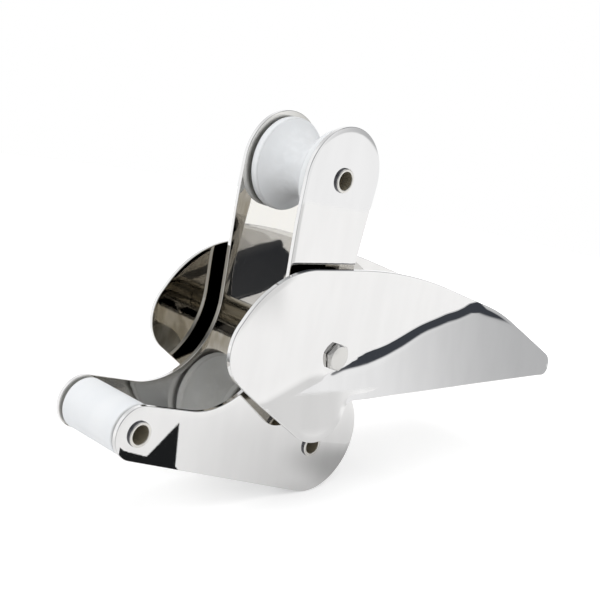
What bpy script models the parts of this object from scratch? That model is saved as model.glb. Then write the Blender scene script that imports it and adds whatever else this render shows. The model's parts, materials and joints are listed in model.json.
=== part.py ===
"""Hinged bow roller of polished stainless steel.

A fixed base of two flared cheeks and a deck plate carries a rocker on a pivot bolt. The rocker is
two boomerang-shaped plates with three nylon rollers on hollow axles. X runs inboard along the deck,
Y across the boat to starboard, Z up. The origin is the middle of the deck plate's underside.
"""

import math

import bmesh
import bpy

MM = 0.001

# Sheet and fits
SHEET = 3.0 * MM
GAP = 0.3 * MM
EDGE_ROUND = 0.6 * MM
WELD_ROUND = 2.2 * MM
CHORD_ERROR = 0.1 * MM

# Widths across the boat
ROCKER_WIDTH = 58.0 * MM
SIDE_ROOM = 6.2 * MM

# Base, measured from the pivot axis
PIVOT_HEIGHT = 31.6 * MM
DECK_START = 33.3 * MM
DECK_LENGTH = 210.0 * MM
FLARE_ANGLE = math.radians(10.5)
STEEPEST_ANGLE = math.radians(14.6)
BEND_SLOPE = math.radians(14.9)
BEND_START = 7.0 * MM
BEND_WIDTH = 2.5 * MM
STEEP_WIDTH = 3.2 * MM
EASE_WIDTH = 6.0 * MM
BEND_STRIPS = 4
TAIL_REACH = 247.2 * MM
TAIL_ROUND = 7.3 * MM
AFT = (119.5 * MM, -133.5 * MM)
AFT_ROUND = 166.9 * MM
TOP_CREST = (-8.1 * MM, 59.0 * MM)
TOP_ROUND = 440.0 * MM
SHOULDER = (-35.2 * MM, -7.8 * MM)
SHOULDER_ROUND = 68.0 * MM
NOSE = (-71.6 * MM, 11.5 * MM)
NOSE_ROUND = 27.2 * MM
LOBE = (-14.2 * MM, -26.4 * MM)
LOBE_ROUND = 29.5 * MM
LOBE_FILLET = 8.4 * MM

# Deck screws, measured from the middle of the deck plate
SCREW_HOLE = 8.5 * MM
SCREW_ROWS = ((-70.0 * MM, 27.0 * MM), (70.0 * MM, 32.0 * MM))

# Rocker, measured from the pivot axis
HEAD_AXLE = (-15.2 * MM, 116.1 * MM)
HEEL_AXLE = (3.8 * MM, -66.6 * MM)
TOE_AXLE = (-152.4 * MM, -37.4 * MM)
HEAD_ROUND = 34.5 * MM
FRONT_EDGE = -50.5 * MM
FRONT_LEVEL = 89.6 * MM
FRONT_ROUND = 344.4 * MM
THROAT = (-101.9 * MM, 23.6 * MM)
THROAT_ROUND = 53.0 * MM
TOE_ROUND = 17.2 * MM
HEEL_CORNER = (9.0 * MM, -63.2 * MM)
HEEL_ROUND = 38.7 * MM
BACK_EDGE = 9.9 * MM
BACK_LEVEL = 27.7 * MM
BACK_ROUND = 88.0 * MM

# Axles and rollers
AXLE_SIZE = 16.0 * MM
AXLE_BORE = 12.0 * MM
AXLE_STANDOUT = 1.8 * MM
WASHER_SIZE = 26.0 * MM
WASHER_THICKNESS = 1.0 * MM
GROOVED_ROLLER = 62.0 * MM
GROOVE_NECK = 34.0 * MM
RIM_LAND = 6.0 * MM
RIM_ROUND = 1.5 * MM
TOE_ROLLER = 33.0 * MM
GROOVE_STEPS = 8
ROLLER_SIDES = 48
AXLE_SIDES = 28
RING_SIDES = 24

# Pivot: an M10 bolt in bushes
BOLT_SIZE = 10.0 * MM
BOLT_HEAD_HEIGHT = 6.4 * MM
BOLT_LENGTH = 95.0 * MM
HEX_FLATS = 17.0 * MM
NUT_HEIGHT = 10.0 * MM
NUT_COLLAR = 7.0 * MM
NUT_WASHER = 18.0 * MM
NUT_WASHER_THICKNESS = 1.6 * MM
CHEEK_HOLE = 11.0 * MM
PIVOT_TUBE = 20.0 * MM
BUSH_SIZE = 14.0 * MM
BUSH_FLANGE = 24.0 * MM
BUSH_FLANGE_THICKNESS = 2.0 * MM
BUSH_DEPTH = 12.0 * MM
HEX_SIDES = 24

# Planes that follow from the widths, as distances from the middle plane
PLATE_OUTER = ROCKER_WIDTH / 2
PLATE_INNER = PLATE_OUTER - SHEET
CHEEK_INNER = PLATE_OUTER + SIDE_ROOM
CHEEK_OUTER = CHEEK_INNER + SHEET
PIVOT = (-(DECK_START + DECK_LENGTH / 2), 0.0, PIVOT_HEIGHT)
HEAD_SEAT = CHEEK_OUTER + GAP
NUT_SEAT = CHEEK_OUTER + GAP + NUT_WASHER_THICKNESS + GAP

STEEL = (0.62, 0.62, 0.63)
FASTENER_STEEL = (0.55, 0.55, 0.56)
NYLON = (0.84, 0.85, 0.86)
ACETAL = (0.72, 0.72, 0.70)


def clear_scene():
    """Take away whatever the opened scene holds."""
    for item in list(bpy.context.scene.objects):
        bpy.data.objects.remove(item, do_unlink=True)


def finish(name, colour, roughness, metallic):
    """One plain surface, as a Principled BSDF."""
    material = bpy.data.materials.new(name)
    material.use_nodes = True
    surface = material.node_tree.nodes["Principled BSDF"]
    surface.inputs["Base Color"].default_value = (*colour, 1.0)
    surface.inputs["Roughness"].default_value = roughness
    surface.inputs["Metallic"].default_value = metallic
    return material


def hinge_empty(name, place, parent=None):
    """An empty on a joint's axis, which carries the pieces that turn with it."""
    empty = bpy.data.objects.new(name, None)
    empty.location = place
    empty.parent = parent
    bpy.context.collection.objects.link(empty)
    return empty


def add_object(name, bm, material, parent=None, place=(0.0, 0.0, 0.0)):
    """Turn a finished bmesh into a named object with smooth round faces."""
    bmesh.ops.recalc_face_normals(bm, faces=bm.faces[:])
    mesh = bpy.data.meshes.new(name)
    bm.to_mesh(mesh)
    bm.free()
    mesh.shade_smooth()
    mesh.set_sharp_from_angle(angle=math.radians(30))
    mesh.materials.append(material)
    made = bpy.data.objects.new(name, mesh)
    made.location = place
    made.parent = parent
    bpy.context.collection.objects.link(made)
    return made


def arc_points(centre, radius, start, sweep):
    """Points along an arc, close enough together to stay within CHORD_ERROR of it."""
    step = 2 * math.acos(1 - CHORD_ERROR / abs(radius))
    count = max(2, math.ceil(abs(sweep) / step))
    turns = [start + sweep * i / count for i in range(count + 1)]
    return [(centre[0] + radius * math.cos(t), centre[1] + radius * math.sin(t)) for t in turns]


def outline_round(circles):
    """The outline that runs counter-clockwise round a chain of circles, joined by tangent lines.

    Each circle is ((x, z), radius). A negative radius is a hollow stretch, whose circle lies
    outside the plate.
    """
    normals = []
    for here, after in zip(circles, circles[1:] + circles[:1]):
        (x0, z0), r0 = here
        (x1, z1), r1 = after
        span = math.hypot(x1 - x0, z1 - z0)
        lean = math.acos(max(-1.0, min(1.0, (r0 - r1) / span)))
        normals.append(math.atan2(z1 - z0, x1 - x0) - lean)
    points = []
    for i, (centre, radius) in enumerate(circles):
        start, end = normals[i - 1], normals[i]
        sweep = (end - start) % math.tau
        if radius < 0:
            sweep -= math.tau
        if math.tau - abs(sweep) < 1e-6:
            sweep = 0.0
        points += arc_points(centre, radius, start, sweep)
    return without_doubles(points)


def without_doubles(points):
    """Drop points that lie on the one before."""
    kept = []
    for point in points:
        if not kept or math.dist(point, kept[-1]) > EDGE_ROUND / 4:
            kept.append(point)
    if math.dist(kept[0], kept[-1]) <= EDGE_ROUND / 4:
        kept.pop()
    return kept


def circle_outline(centre, size, sides):
    """A round hole's outline."""
    turns = [math.tau * i / sides for i in range(sides)]
    return [(centre[0] + size / 2 * math.cos(t), centre[1] + size / 2 * math.sin(t)) for t in turns]


def lay_loop(bm, loop, level):
    """Lay a closed outline in the plane y = level and return its edges."""
    verts = [bm.verts.new((x, level, z)) for x, z in loop]
    return [bm.edges.new(pair) for pair in zip(verts, verts[1:] + verts[:1])]


def fill_between(bm, edges):
    """Fill the sheet between an outer outline and the holes in it."""
    bmesh.ops.triangle_fill(bm, use_beauty=True, use_dissolve=False, edges=edges)


def give_thickness(bm, thickness):
    """Extrude a filled sheet along Y."""
    grown = bmesh.ops.extrude_face_region(bm, geom=bm.faces[:])
    for item in grown["geom"]:
        if isinstance(item, bmesh.types.BMVert):
            item.co.y += thickness
    bmesh.ops.recalc_face_normals(bm, faces=bm.faces[:])


def round_edges(bm, edges, radius, segments):
    """Break a sheet's cut edges."""
    bmesh.ops.bevel(
        bm,
        geom=edges,
        offset=radius,
        offset_type="OFFSET",
        segments=segments,
        profile=0.5,
        affect="EDGES",
        clamp_overlap=True,
    )


def cut_edges(bm):
    """The square edges that a plate's cut sides make with its faces."""
    return [edge for edge in bm.edges if edge.calc_face_angle(0.0) > math.radians(60)]


def below_bend(x, z):
    """How far a point of a cheek lies below a line through the pivot, parallel to the bend."""
    return x * math.sin(BEND_SLOPE) - z * math.cos(BEND_SLOPE)


def arc_rise(past, width, start, end):
    """How far a sheet has risen on an arc that bends it from one slope to another."""
    past = max(0.0, min(past, width))
    radius = width / (math.sin(end) - math.sin(start))
    slope = math.asin(math.sin(start) + past / radius)
    return radius * (math.cos(start) - math.cos(slope))


def flare(x, z):
    """How far a cheek stands outwards at a point: a quick bend, a steep strip, then the flap."""
    past = below_bend(x, z) - BEND_START
    rise = arc_rise(past, BEND_WIDTH, 0.0, STEEPEST_ANGLE)
    past -= BEND_WIDTH
    rise += max(0.0, min(past, STEEP_WIDTH)) * math.tan(STEEPEST_ANGLE)
    past -= STEEP_WIDTH
    rise += arc_rise(past, EASE_WIDTH, STEEPEST_ANGLE, FLARE_ANGLE)
    past -= EASE_WIDTH
    return rise + max(0.0, past) * math.tan(FLARE_ANGLE)


def cheek_outline():
    """The leaf shape of a cheek, from the tail over the top to the lobe under the pivot."""
    crest_x, crest_z = TOP_CREST
    fillet_z = -PIVOT_HEIGHT - LOBE_FILLET
    reach = LOBE_ROUND + LOBE_FILLET
    fillet_x = LOBE[0] + math.sqrt(reach**2 - (fillet_z - LOBE[1]) ** 2)
    return outline_round(
        [
            ((TAIL_REACH, TAIL_ROUND - PIVOT_HEIGHT), TAIL_ROUND),
            (AFT, AFT_ROUND),
            ((crest_x, crest_z - TOP_ROUND), TOP_ROUND),
            (SHOULDER, SHOULDER_ROUND),
            (NOSE, NOSE_ROUND),
            (LOBE, LOBE_ROUND),
            ((fillet_x, fillet_z), -LOBE_FILLET),
        ]
    )


def cut_along_bend(bm):
    """Divide a cheek's sheet into strips where it bends."""
    across = (math.sin(BEND_SLOPE), 0.0, -math.cos(BEND_SLOPE))
    ease = BEND_START + BEND_WIDTH + STEEP_WIDTH
    stops = [BEND_START + BEND_WIDTH * i / BEND_STRIPS for i in range(BEND_STRIPS + 1)]
    stops += [ease + EASE_WIDTH * i / BEND_STRIPS for i in range(BEND_STRIPS + 1)]
    for stop in stops:
        bmesh.ops.bisect_plane(
            bm,
            geom=bm.verts[:] + bm.edges[:] + bm.faces[:],
            dist=GAP / 100,
            plane_co=tuple(stop * part for part in across),
            plane_no=across,
        )


def add_cheek(name, side, material):
    """One cheek of the base: side is -1 to port and +1 to starboard."""
    bm = bmesh.new()
    inner = side * CHEEK_INNER
    bm.faces.new([bm.verts.new((x, inner, z)) for x, z in cheek_outline()])
    cut_along_bend(bm)
    upper = max(bm.faces, key=lambda face: face.calc_area())
    rim = list(upper.edges)
    bmesh.ops.delete(bm, geom=[upper], context="FACES_ONLY")
    fill_between(bm, rim + lay_loop(bm, circle_outline((0.0, 0.0), CHEEK_HOLE, RING_SIDES), inner))
    give_thickness(bm, side * SHEET)
    weld = [
        edge
        for edge in cut_edges(bm)
        if all(abs(v.co.z + PIVOT_HEIGHT) < GAP / 10 for v in edge.verts)
        and all(abs(abs(v.co.y) - CHEEK_OUTER) < GAP / 10 for v in edge.verts)
    ]
    round_edges(bm, weld, WELD_ROUND, 4)
    round_edges(bm, cut_edges(bm), EDGE_ROUND, 2)
    for vert in bm.verts:
        vert.co.y += side * flare(vert.co.x, vert.co.z)
    return add_object(name, bm, material, place=PIVOT)


def deck_outline(level):
    """The deck plate seen from above at a height over the deck: wider inboard, like the flare."""
    corners = []
    for x in (DECK_START, DECK_START + DECK_LENGTH):
        corners.append((x + PIVOT[0], CHEEK_INNER + flare(x, level - PIVOT_HEIGHT) - GAP))
    (front, narrow), (back, wide) = corners
    return [(front, -narrow), (back, -wide), (back, wide), (front, narrow)]


def add_deck_plate(material):
    """The flat floor between the cheeks, with countersunk holes for the deck screws."""
    bm = bmesh.new()
    places = [(x, side * y) for x, y in SCREW_ROWS for side in (-1, 1)]
    rims = []
    for level, size, widest in ((0.0, SCREW_HOLE, SHEET), (SHEET, SCREW_HOLE + 2 * SHEET, SHEET)):
        loops = [deck_outline(widest)] + [circle_outline(place, size, RING_SIDES) for place in places]
        edges = []
        layer = []
        for loop in loops:
            verts = [bm.verts.new((x, y, level)) for x, y in loop]
            edges += [bm.edges.new(pair) for pair in zip(verts, verts[1:] + verts[:1])]
            layer.append(verts)
        bmesh.ops.triangle_fill(bm, use_beauty=True, use_dissolve=False, edges=edges)
        rims.append(layer)
    for low, high in zip(*rims):
        for a, b, c, d in zip(low, low[1:] + low[:1], high[1:] + high[:1], high):
            bm.faces.new((a, b, c, d))
    bmesh.ops.recalc_face_normals(bm, faces=bm.faces[:])
    square = [e for e in cut_edges(bm) if all(v.co.z > GAP for v in e.verts)]
    round_edges(bm, square, EDGE_ROUND, 2)
    return add_object("deck_plate", bm, material)


def rocker_outline():
    """The boomerang shape of a rocker plate, round the head, throat, toe, heel and back."""
    return outline_round(
        [
            (HEAD_AXLE, HEAD_ROUND),
            ((FRONT_EDGE + FRONT_ROUND, FRONT_LEVEL), FRONT_ROUND),
            (THROAT, -THROAT_ROUND),
            (TOE_AXLE, TOE_ROUND),
            (HEEL_CORNER, HEEL_ROUND),
            ((BACK_EDGE + BACK_ROUND, BACK_LEVEL), -BACK_ROUND),
        ]
    )


def add_rocker_plate(name, side, material, parent):
    """One side plate of the rocker, with holes for the pivot bush and the three axles."""
    bm = bmesh.new()
    holes = [circle_outline((0.0, 0.0), BUSH_SIZE + 2 * GAP, RING_SIDES)]
    for centre in (HEAD_AXLE, HEEL_AXLE, TOE_AXLE):
        holes.append(circle_outline(centre, AXLE_SIZE + 2 * GAP, AXLE_SIDES))
    edges = []
    for loop in [rocker_outline()] + holes:
        edges += lay_loop(bm, loop, side * PLATE_INNER)
    fill_between(bm, edges)
    give_thickness(bm, side * SHEET)
    round_edges(bm, cut_edges(bm), EDGE_ROUND, 1)
    return add_object(name, bm, material, parent)


def hex_radius(turn, flats):
    """Distance from a hexagon's middle to its side in one direction."""
    within = (turn + math.pi / 6) % (math.pi / 3) - math.pi / 6
    return flats / 2 / math.cos(within)


def add_turned(name, rings, sides, material, parent=None, place=(0.0, 0.0, 0.0), hollow=True):
    """A piece turned about Y. A ring is (y, radius), or (y, radius, flats) where a hexagon
    of that width cuts the round. A hollow piece's rings close on themselves, through its bore.
    """
    bm = bmesh.new()
    loops = []
    for ring in rings:
        loop = []
        for i in range(sides):
            turn = math.tau * i / sides
            radius = ring[1]
            if len(ring) == 3:
                radius = min(radius, hex_radius(turn, ring[2]))
            loop.append(bm.verts.new((radius * math.cos(turn), ring[0], radius * math.sin(turn))))
        loops.append(loop)
    pairs = list(zip(loops, loops[1:]))
    if hollow:
        pairs.append((loops[-1], loops[0]))
    else:
        bm.faces.new(loops[0])
        bm.faces.new(loops[-1])
    for one, other in pairs:
        for a, b, c, d in zip(one, one[1:] + one[:1], other[1:] + other[:1], other):
            bm.faces.new((a, b, c, d))
    return add_object(name, bm, material, parent, place)


def tube_rings(start, end, outer, bore, edge=0.0):
    """Rings of a plain tube or washer, its outer edges broken where edge is given."""
    rings = [(start, bore / 2), (start, outer / 2 - edge)]
    if edge:
        rings += [(start + edge, outer / 2), (end - edge, outer / 2)]
    return rings + [(end, outer / 2 - edge), (end, bore / 2)]


def grooved_rings(width, bore):
    """Rings of a roller with a round groove between two flat lands."""
    half = width / 2
    rim = GROOVED_ROLLER / 2
    chord = half - RIM_LAND
    depth = (GROOVED_ROLLER - GROOVE_NECK) / 2
    radius = (chord**2 + depth**2) / (2 * depth)
    widest = math.asin(chord / radius)
    middle = GROOVE_NECK / 2 + radius
    rings = [(-half, bore / 2), (-half, rim - RIM_ROUND)]
    rings.append((-half + RIM_ROUND * 0.3, rim - RIM_ROUND * 0.3))
    rings.append((-half + RIM_ROUND, rim))
    for i in range(GROOVE_STEPS + 1):
        turn = widest * (2 * i / GROOVE_STEPS - 1)
        rings.append((radius * math.sin(turn), middle - radius * math.cos(turn)))
    rings.append((half - RIM_ROUND, rim))
    rings.append((half - RIM_ROUND * 0.3, rim - RIM_ROUND * 0.3))
    rings += [(half, rim - RIM_ROUND), (half, bore / 2)]
    return rings


def add_roller_set(station, axle, steel, nylon, acetal, rocker, plain):
    """A roller, its hollow axle and the thrust washers at its ends, on one axle line."""
    place = (axle[0], 0.0, axle[1])
    axis = hinge_empty(f"{station}_axis", place, rocker)
    bore = AXLE_SIZE + 2 * GAP
    reach = PLATE_OUTER + AXLE_STANDOUT
    add_turned(
        f"{station}_axle",
        tube_rings(-reach, reach, AXLE_SIZE, AXLE_BORE, EDGE_ROUND),
        AXLE_SIDES,
        steel,
        axis,
    )
    outer = PLATE_INNER - GAP
    inner = outer - WASHER_THICKNESS
    for label, side in (("port", -1), ("starboard", 1)):
        start, end = sorted((side * outer, side * inner))
        rings = tube_rings(start, end, WASHER_SIZE, bore)
        add_turned(f"{station}_{label}_washer", rings, RING_SIDES, acetal, axis)
    half = inner - GAP
    if plain:
        rings = tube_rings(-half, half, TOE_ROLLER, bore, RIM_ROUND)
    else:
        rings = grooved_rings(2 * half, bore)
    add_turned(f"{station}_roller", rings, ROLLER_SIDES, nylon, axis)


def add_pivot_bolt(material):
    """The hexagon-head bolt that the rocker tilts on, head to port."""
    seat = -HEAD_SEAT
    top = seat - BOLT_HEAD_HEIGHT
    corner = HEX_FLATS
    crown = HEX_FLATS * 0.475
    end = seat + BOLT_LENGTH
    rings = [
        (top, crown),
        (top + BOLT_HEAD_HEIGHT * 0.06, HEX_FLATS * 0.5, HEX_FLATS),
        (top + BOLT_HEAD_HEIGHT * 0.14, HEX_FLATS * 0.54, HEX_FLATS),
        (top + BOLT_HEAD_HEIGHT * 0.22, corner, HEX_FLATS),
        (seat - EDGE_ROUND, corner, HEX_FLATS),
        (seat, crown),
        (seat, BOLT_SIZE / 2),
        (end - EDGE_ROUND * 2, BOLT_SIZE / 2),
        (end, BOLT_SIZE / 2 - EDGE_ROUND * 2),
    ]
    return add_turned("pivot_bolt", rings, HEX_SIDES, material, place=PIVOT, hollow=False)


def add_pivot_nut(material):
    """The self-locking nut on the bolt's starboard end, a hexagon with a round collar."""
    seat = NUT_SEAT
    bore = BOLT_SIZE / 2 + GAP
    rings = [
        (seat, bore),
        (seat, HEX_FLATS * 0.49),
        (seat + EDGE_ROUND, HEX_FLATS, HEX_FLATS),
        (seat + NUT_COLLAR - EDGE_ROUND, HEX_FLATS, HEX_FLATS),
        (seat + NUT_COLLAR, HEX_FLATS * 0.47),
        (seat + NUT_HEIGHT - EDGE_ROUND * 2, HEX_FLATS * 0.44),
        (seat + NUT_HEIGHT, HEX_FLATS * 0.40),
        (seat + NUT_HEIGHT, bore),
    ]
    return add_turned("pivot_nut", rings, HEX_SIDES, material, place=PIVOT)


def add_nut_washer(material):
    """The flat washer under the nut."""
    start = CHEEK_OUTER + GAP
    end = start + NUT_WASHER_THICKNESS
    rings = tube_rings(start, end, NUT_WASHER, BOLT_SIZE + 2 * GAP, EDGE_ROUND / 2)
    add_turned("nut_washer", rings, RING_SIDES, material, place=PIVOT)


def add_pivot_spacers(material):
    """The spacers that keep the rocker in the middle between the cheeks."""
    for label, side in (("port", -1), ("starboard", 1)):
        near = side * (PLATE_OUTER + GAP + BUSH_FLANGE_THICKNESS + GAP)
        far = side * (CHEEK_INNER - GAP)
        start, end = sorted((near, far))
        rings = tube_rings(start, end, PIVOT_TUBE, BOLT_SIZE + 2 * GAP)
        add_turned(f"{label}_pivot_spacer", rings, RING_SIDES, material, place=PIVOT)


def add_pivot_bushes(material, rocker):
    """The flanged bushes pressed into the rocker, which turn on the bolt."""
    bore = BOLT_SIZE / 2 + GAP
    for label, side in (("port", -1), ("starboard", 1)):
        seat = PLATE_OUTER + GAP
        rings = [
            (side * (seat - SHEET - BUSH_DEPTH), bore),
            (side * (seat - SHEET - BUSH_DEPTH), BUSH_SIZE / 2),
            (side * seat, BUSH_SIZE / 2),
            (side * seat, BUSH_FLANGE / 2),
            (side * (seat + BUSH_FLANGE_THICKNESS), BUSH_FLANGE / 2),
            (side * (seat + BUSH_FLANGE_THICKNESS), bore),
        ]
        add_turned(f"{label}_pivot_bush", rings, RING_SIDES, material, rocker)


def add_pivot_tube(material, rocker):
    """The tube welded between the rocker plates round the pivot."""
    half = PLATE_INNER - GAP
    rings = tube_rings(-half, half, PIVOT_TUBE, BUSH_SIZE + 2 * GAP)
    add_turned("pivot_tube", rings, RING_SIDES, material, rocker)


def build():
    """Make the whole bow roller."""
    clear_scene()
    steel = finish("polished_stainless", STEEL, 0.06, 1.0)
    fastener = finish("fastener_stainless", FASTENER_STEEL, 0.18, 1.0)
    nylon = finish("white_nylon", NYLON, 0.45, 0.0)
    acetal = finish("natural_acetal", ACETAL, 0.5, 0.0)

    add_cheek("port_cheek", -1, steel)
    add_cheek("starboard_cheek", 1, steel)
    add_deck_plate(steel)
    add_pivot_bolt(fastener)
    add_pivot_nut(fastener)
    add_nut_washer(fastener)
    add_pivot_spacers(fastener)

    rocker = hinge_empty("rocker_hinge", PIVOT)
    add_rocker_plate("port_rocker_plate", -1, steel, rocker)
    add_rocker_plate("starboard_rocker_plate", 1, steel, rocker)
    add_pivot_tube(steel, rocker)
    add_pivot_bushes(acetal, rocker)
    add_roller_set("head", HEAD_AXLE, steel, nylon, acetal, rocker, False)
    add_roller_set("heel", HEEL_AXLE, steel, nylon, acetal, rocker, False)
    add_roller_set("toe", TOE_AXLE, steel, nylon, acetal, rocker, True)


build()
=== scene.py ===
"""Looks of a hinged bow roller in mirror-polished stainless steel with white nylon rollers.

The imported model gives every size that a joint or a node's box can tell. Each piece is rebuilt
here with smooth curves and its exact surface directions, because a mirror shows every facet.
All lengths are in metres, X inboard along the deck, Y to starboard, Z up.
"""

import json
import logging
import math
from dataclasses import dataclass, field, replace
from enum import Enum

import bmesh
import bpy
from mathutils import Matrix, Vector


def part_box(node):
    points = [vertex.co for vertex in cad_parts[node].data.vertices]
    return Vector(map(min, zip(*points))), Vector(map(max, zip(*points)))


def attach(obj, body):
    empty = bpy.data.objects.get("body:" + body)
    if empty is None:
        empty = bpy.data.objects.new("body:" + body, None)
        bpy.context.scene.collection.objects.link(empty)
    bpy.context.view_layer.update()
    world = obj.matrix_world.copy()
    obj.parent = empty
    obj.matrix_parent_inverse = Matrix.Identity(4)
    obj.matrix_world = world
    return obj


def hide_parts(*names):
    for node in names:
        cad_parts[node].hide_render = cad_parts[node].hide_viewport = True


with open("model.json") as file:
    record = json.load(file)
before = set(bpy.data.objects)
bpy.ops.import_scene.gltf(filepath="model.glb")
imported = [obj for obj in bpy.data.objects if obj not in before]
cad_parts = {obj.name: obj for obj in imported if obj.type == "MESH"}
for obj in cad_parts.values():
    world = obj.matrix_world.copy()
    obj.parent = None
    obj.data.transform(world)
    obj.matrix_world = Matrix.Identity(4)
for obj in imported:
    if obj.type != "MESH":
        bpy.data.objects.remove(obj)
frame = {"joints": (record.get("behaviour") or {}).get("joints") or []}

MM = 0.001
GAP = 0.3 * MM
EDGE_LAYER = "edge"
INNER_SHADE_LAYER = "inner_face_shade"
Point2 = tuple[float, float]
Colour = tuple[float, float, float]

log = logging.getLogger("bow_roller")


class Body(Enum):
    """The rigid bodies that pieces ride on."""

    BASE = "base"
    ROCKER = "rocker"
    HEAD = "head_wheel"
    HEEL = "heel_wheel"
    TOE = "toe_wheel"


class Slot(Enum):
    """The record's material slots."""

    STEEL = "polished_stainless"
    FASTENER = "fastener_stainless"
    NYLON = "white_nylon"
    ACETAL = "natural_acetal"


class Side(Enum):
    """The two sides of the boat, as signs along Y."""

    PORT = -1
    STARBOARD = 1

    @property
    def label(self) -> str:
        """The side's name, as the nodes spell it."""
        return self.name.lower()


def hinge_place(joint: str) -> Vector:
    """Find a joint's axis.

    Args:
        joint: The joint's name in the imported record.

    Returns:
        A point on the axis, in the row frame.
    """
    return Vector(next(item["pos_m"] for item in frame["joints"] if item["name"] == joint))


def span_of(node: str) -> tuple[float, float]:
    """Find how far a node reaches across the boat.

    Args:
        node: The CAD node's name.

    Returns:
        The lowest and highest Y of the node.
    """
    low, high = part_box(node)
    return low.y, high.y


def smooth_step(share: float) -> float:
    """Ease a share from 0 to 1, flat at both ends."""
    share = max(0.0, min(1.0, share))
    return share * share * (3 - 2 * share)


def eased_value(place: float, knots: tuple[Point2, ...]) -> float:
    """Read a value from knots that ease into each other.

    Args:
        place: Where to read it.
        knots: Places in rising order, each with its value.

    Returns:
        The value there; past either end it is the end knot's.
    """
    value = knots[0][1]
    for (first, low), (last, high) in zip(knots, knots[1:]):
        if place > first:
            value = low + (high - low) * smooth_step((place - first) / (last - first))
    return value


class ShaderBuilder:
    """Adds nodes to one node tree and links them."""

    def __init__(self, tree: bpy.types.NodeTree) -> None:
        """Keep the tree that nodes go into."""
        self.tree = tree

    def add(self, kind: str, **settings: object) -> bpy.types.Node:
        """Add a node.

        Args:
            kind: The node's type name, such as ShaderNodeMath.
            settings: Properties to set on it.

        Returns:
            The new node.
        """
        node = self.tree.nodes.new(kind)
        for name, value in settings.items():
            setattr(node, name, value)
        return node

    def join(self, source: object, target: bpy.types.NodeSocket) -> None:
        """Link a socket, or set a plain value, on a target socket."""
        if isinstance(source, bpy.types.NodeSocket):
            self.tree.links.new(source, target)
        else:
            target.default_value = source

    def math(self, operation: str, *inputs: object) -> bpy.types.NodeSocket:
        """Add a Math node.

        Args:
            operation: Its operation.
            inputs: A socket or number for each input.

        Returns:
            Its value.
        """
        node = self.add("ShaderNodeMath", operation=operation)
        for value, socket in zip(inputs, node.inputs):
            self.join(value, socket)
        return node.outputs[0]

    def ramp(self, value: object, low: float, high: float, start: float = 0.0, end: float = 1.0) -> bpy.types.NodeSocket:
        """Map a value smoothly from one range to another.

        Args:
            value: The socket to map.
            low: Where the result is start.
            high: Where the result is end.
            start: The first result.
            end: The last result.

        Returns:
            The mapped value.
        """
        node = self.add("ShaderNodeMapRange", interpolation_type="SMOOTHSTEP")
        self.join(value, node.inputs["Value"])
        for name, number in (("From Min", low), ("From Max", high), ("To Min", start), ("To Max", end)):
            node.inputs[name].default_value = number
        return node.outputs["Result"]

    def blend(self, share: object, first: object, second: object) -> bpy.types.NodeSocket:
        """Mix two colours by a share.

        Args:
            share: 0 for the first, 1 for the second.
            first: A colour or socket.
            second: A colour or socket.

        Returns:
            The mixed colour.
        """
        node = self.add("ShaderNodeMix", data_type="RGBA", clamp_factor=True)
        self.join(share, node.inputs["Factor"])
        for value, name in ((first, "A"), (second, "B")):
            socket = next(s for s in node.inputs if s.name == name and s.type == "RGBA")
            self.join(value if isinstance(value, bpy.types.NodeSocket) else (*value, 1.0), socket)
        return next(s for s in node.outputs if s.type == "RGBA")

    def noise(self, vector: object, scale: float, detail: float = 2.0, roughness: float = 0.5) -> bpy.types.NodeSocket:
        """Add a noise texture and return its value, from 0 to 1."""
        node = self.add("ShaderNodeTexNoise")
        self.join(vector, node.inputs["Vector"])
        node.inputs["Scale"].default_value = scale
        node.inputs["Detail"].default_value = detail
        node.inputs["Roughness"].default_value = roughness
        return node.outputs["Fac"]

    def stretched(self, factors: tuple[float, float, float]) -> bpy.types.NodeSocket:
        """Return object coordinates, stretched along each axis."""
        place = self.add("ShaderNodeTexCoord")
        mapping = self.add("ShaderNodeMapping")
        self.join(place.outputs["Object"], mapping.inputs["Vector"])
        mapping.inputs["Scale"].default_value = factors
        return mapping.outputs["Vector"]


def make_group(name: str, inputs: dict[str, float], outputs: tuple[str, ...]) -> tuple[ShaderBuilder, dict, dict]:
    """Start a shader node group with named number sockets.

    Args:
        name: The group's name.
        inputs: Each input's name and default.
        outputs: The outputs' names.

    Returns:
        A builder for the group's tree, its input sockets and its output sockets, by name.
    """
    tree = bpy.data.node_groups.new(name, "ShaderNodeTree")
    for label, value in inputs.items():
        socket = tree.interface.new_socket(label, in_out="INPUT", socket_type="NodeSocketFloat")
        socket.default_value = value
    for label in outputs:
        tree.interface.new_socket(label, in_out="OUTPUT", socket_type="NodeSocketFloat")
    builder = ShaderBuilder(tree)
    entry = builder.add("NodeGroupInput")
    leave = builder.add("NodeGroupOutput")
    given = {label: entry.outputs[label] for label in inputs}
    wanted = {label: leave.inputs[label] for label in outputs}
    return builder, given, wanted


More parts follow.
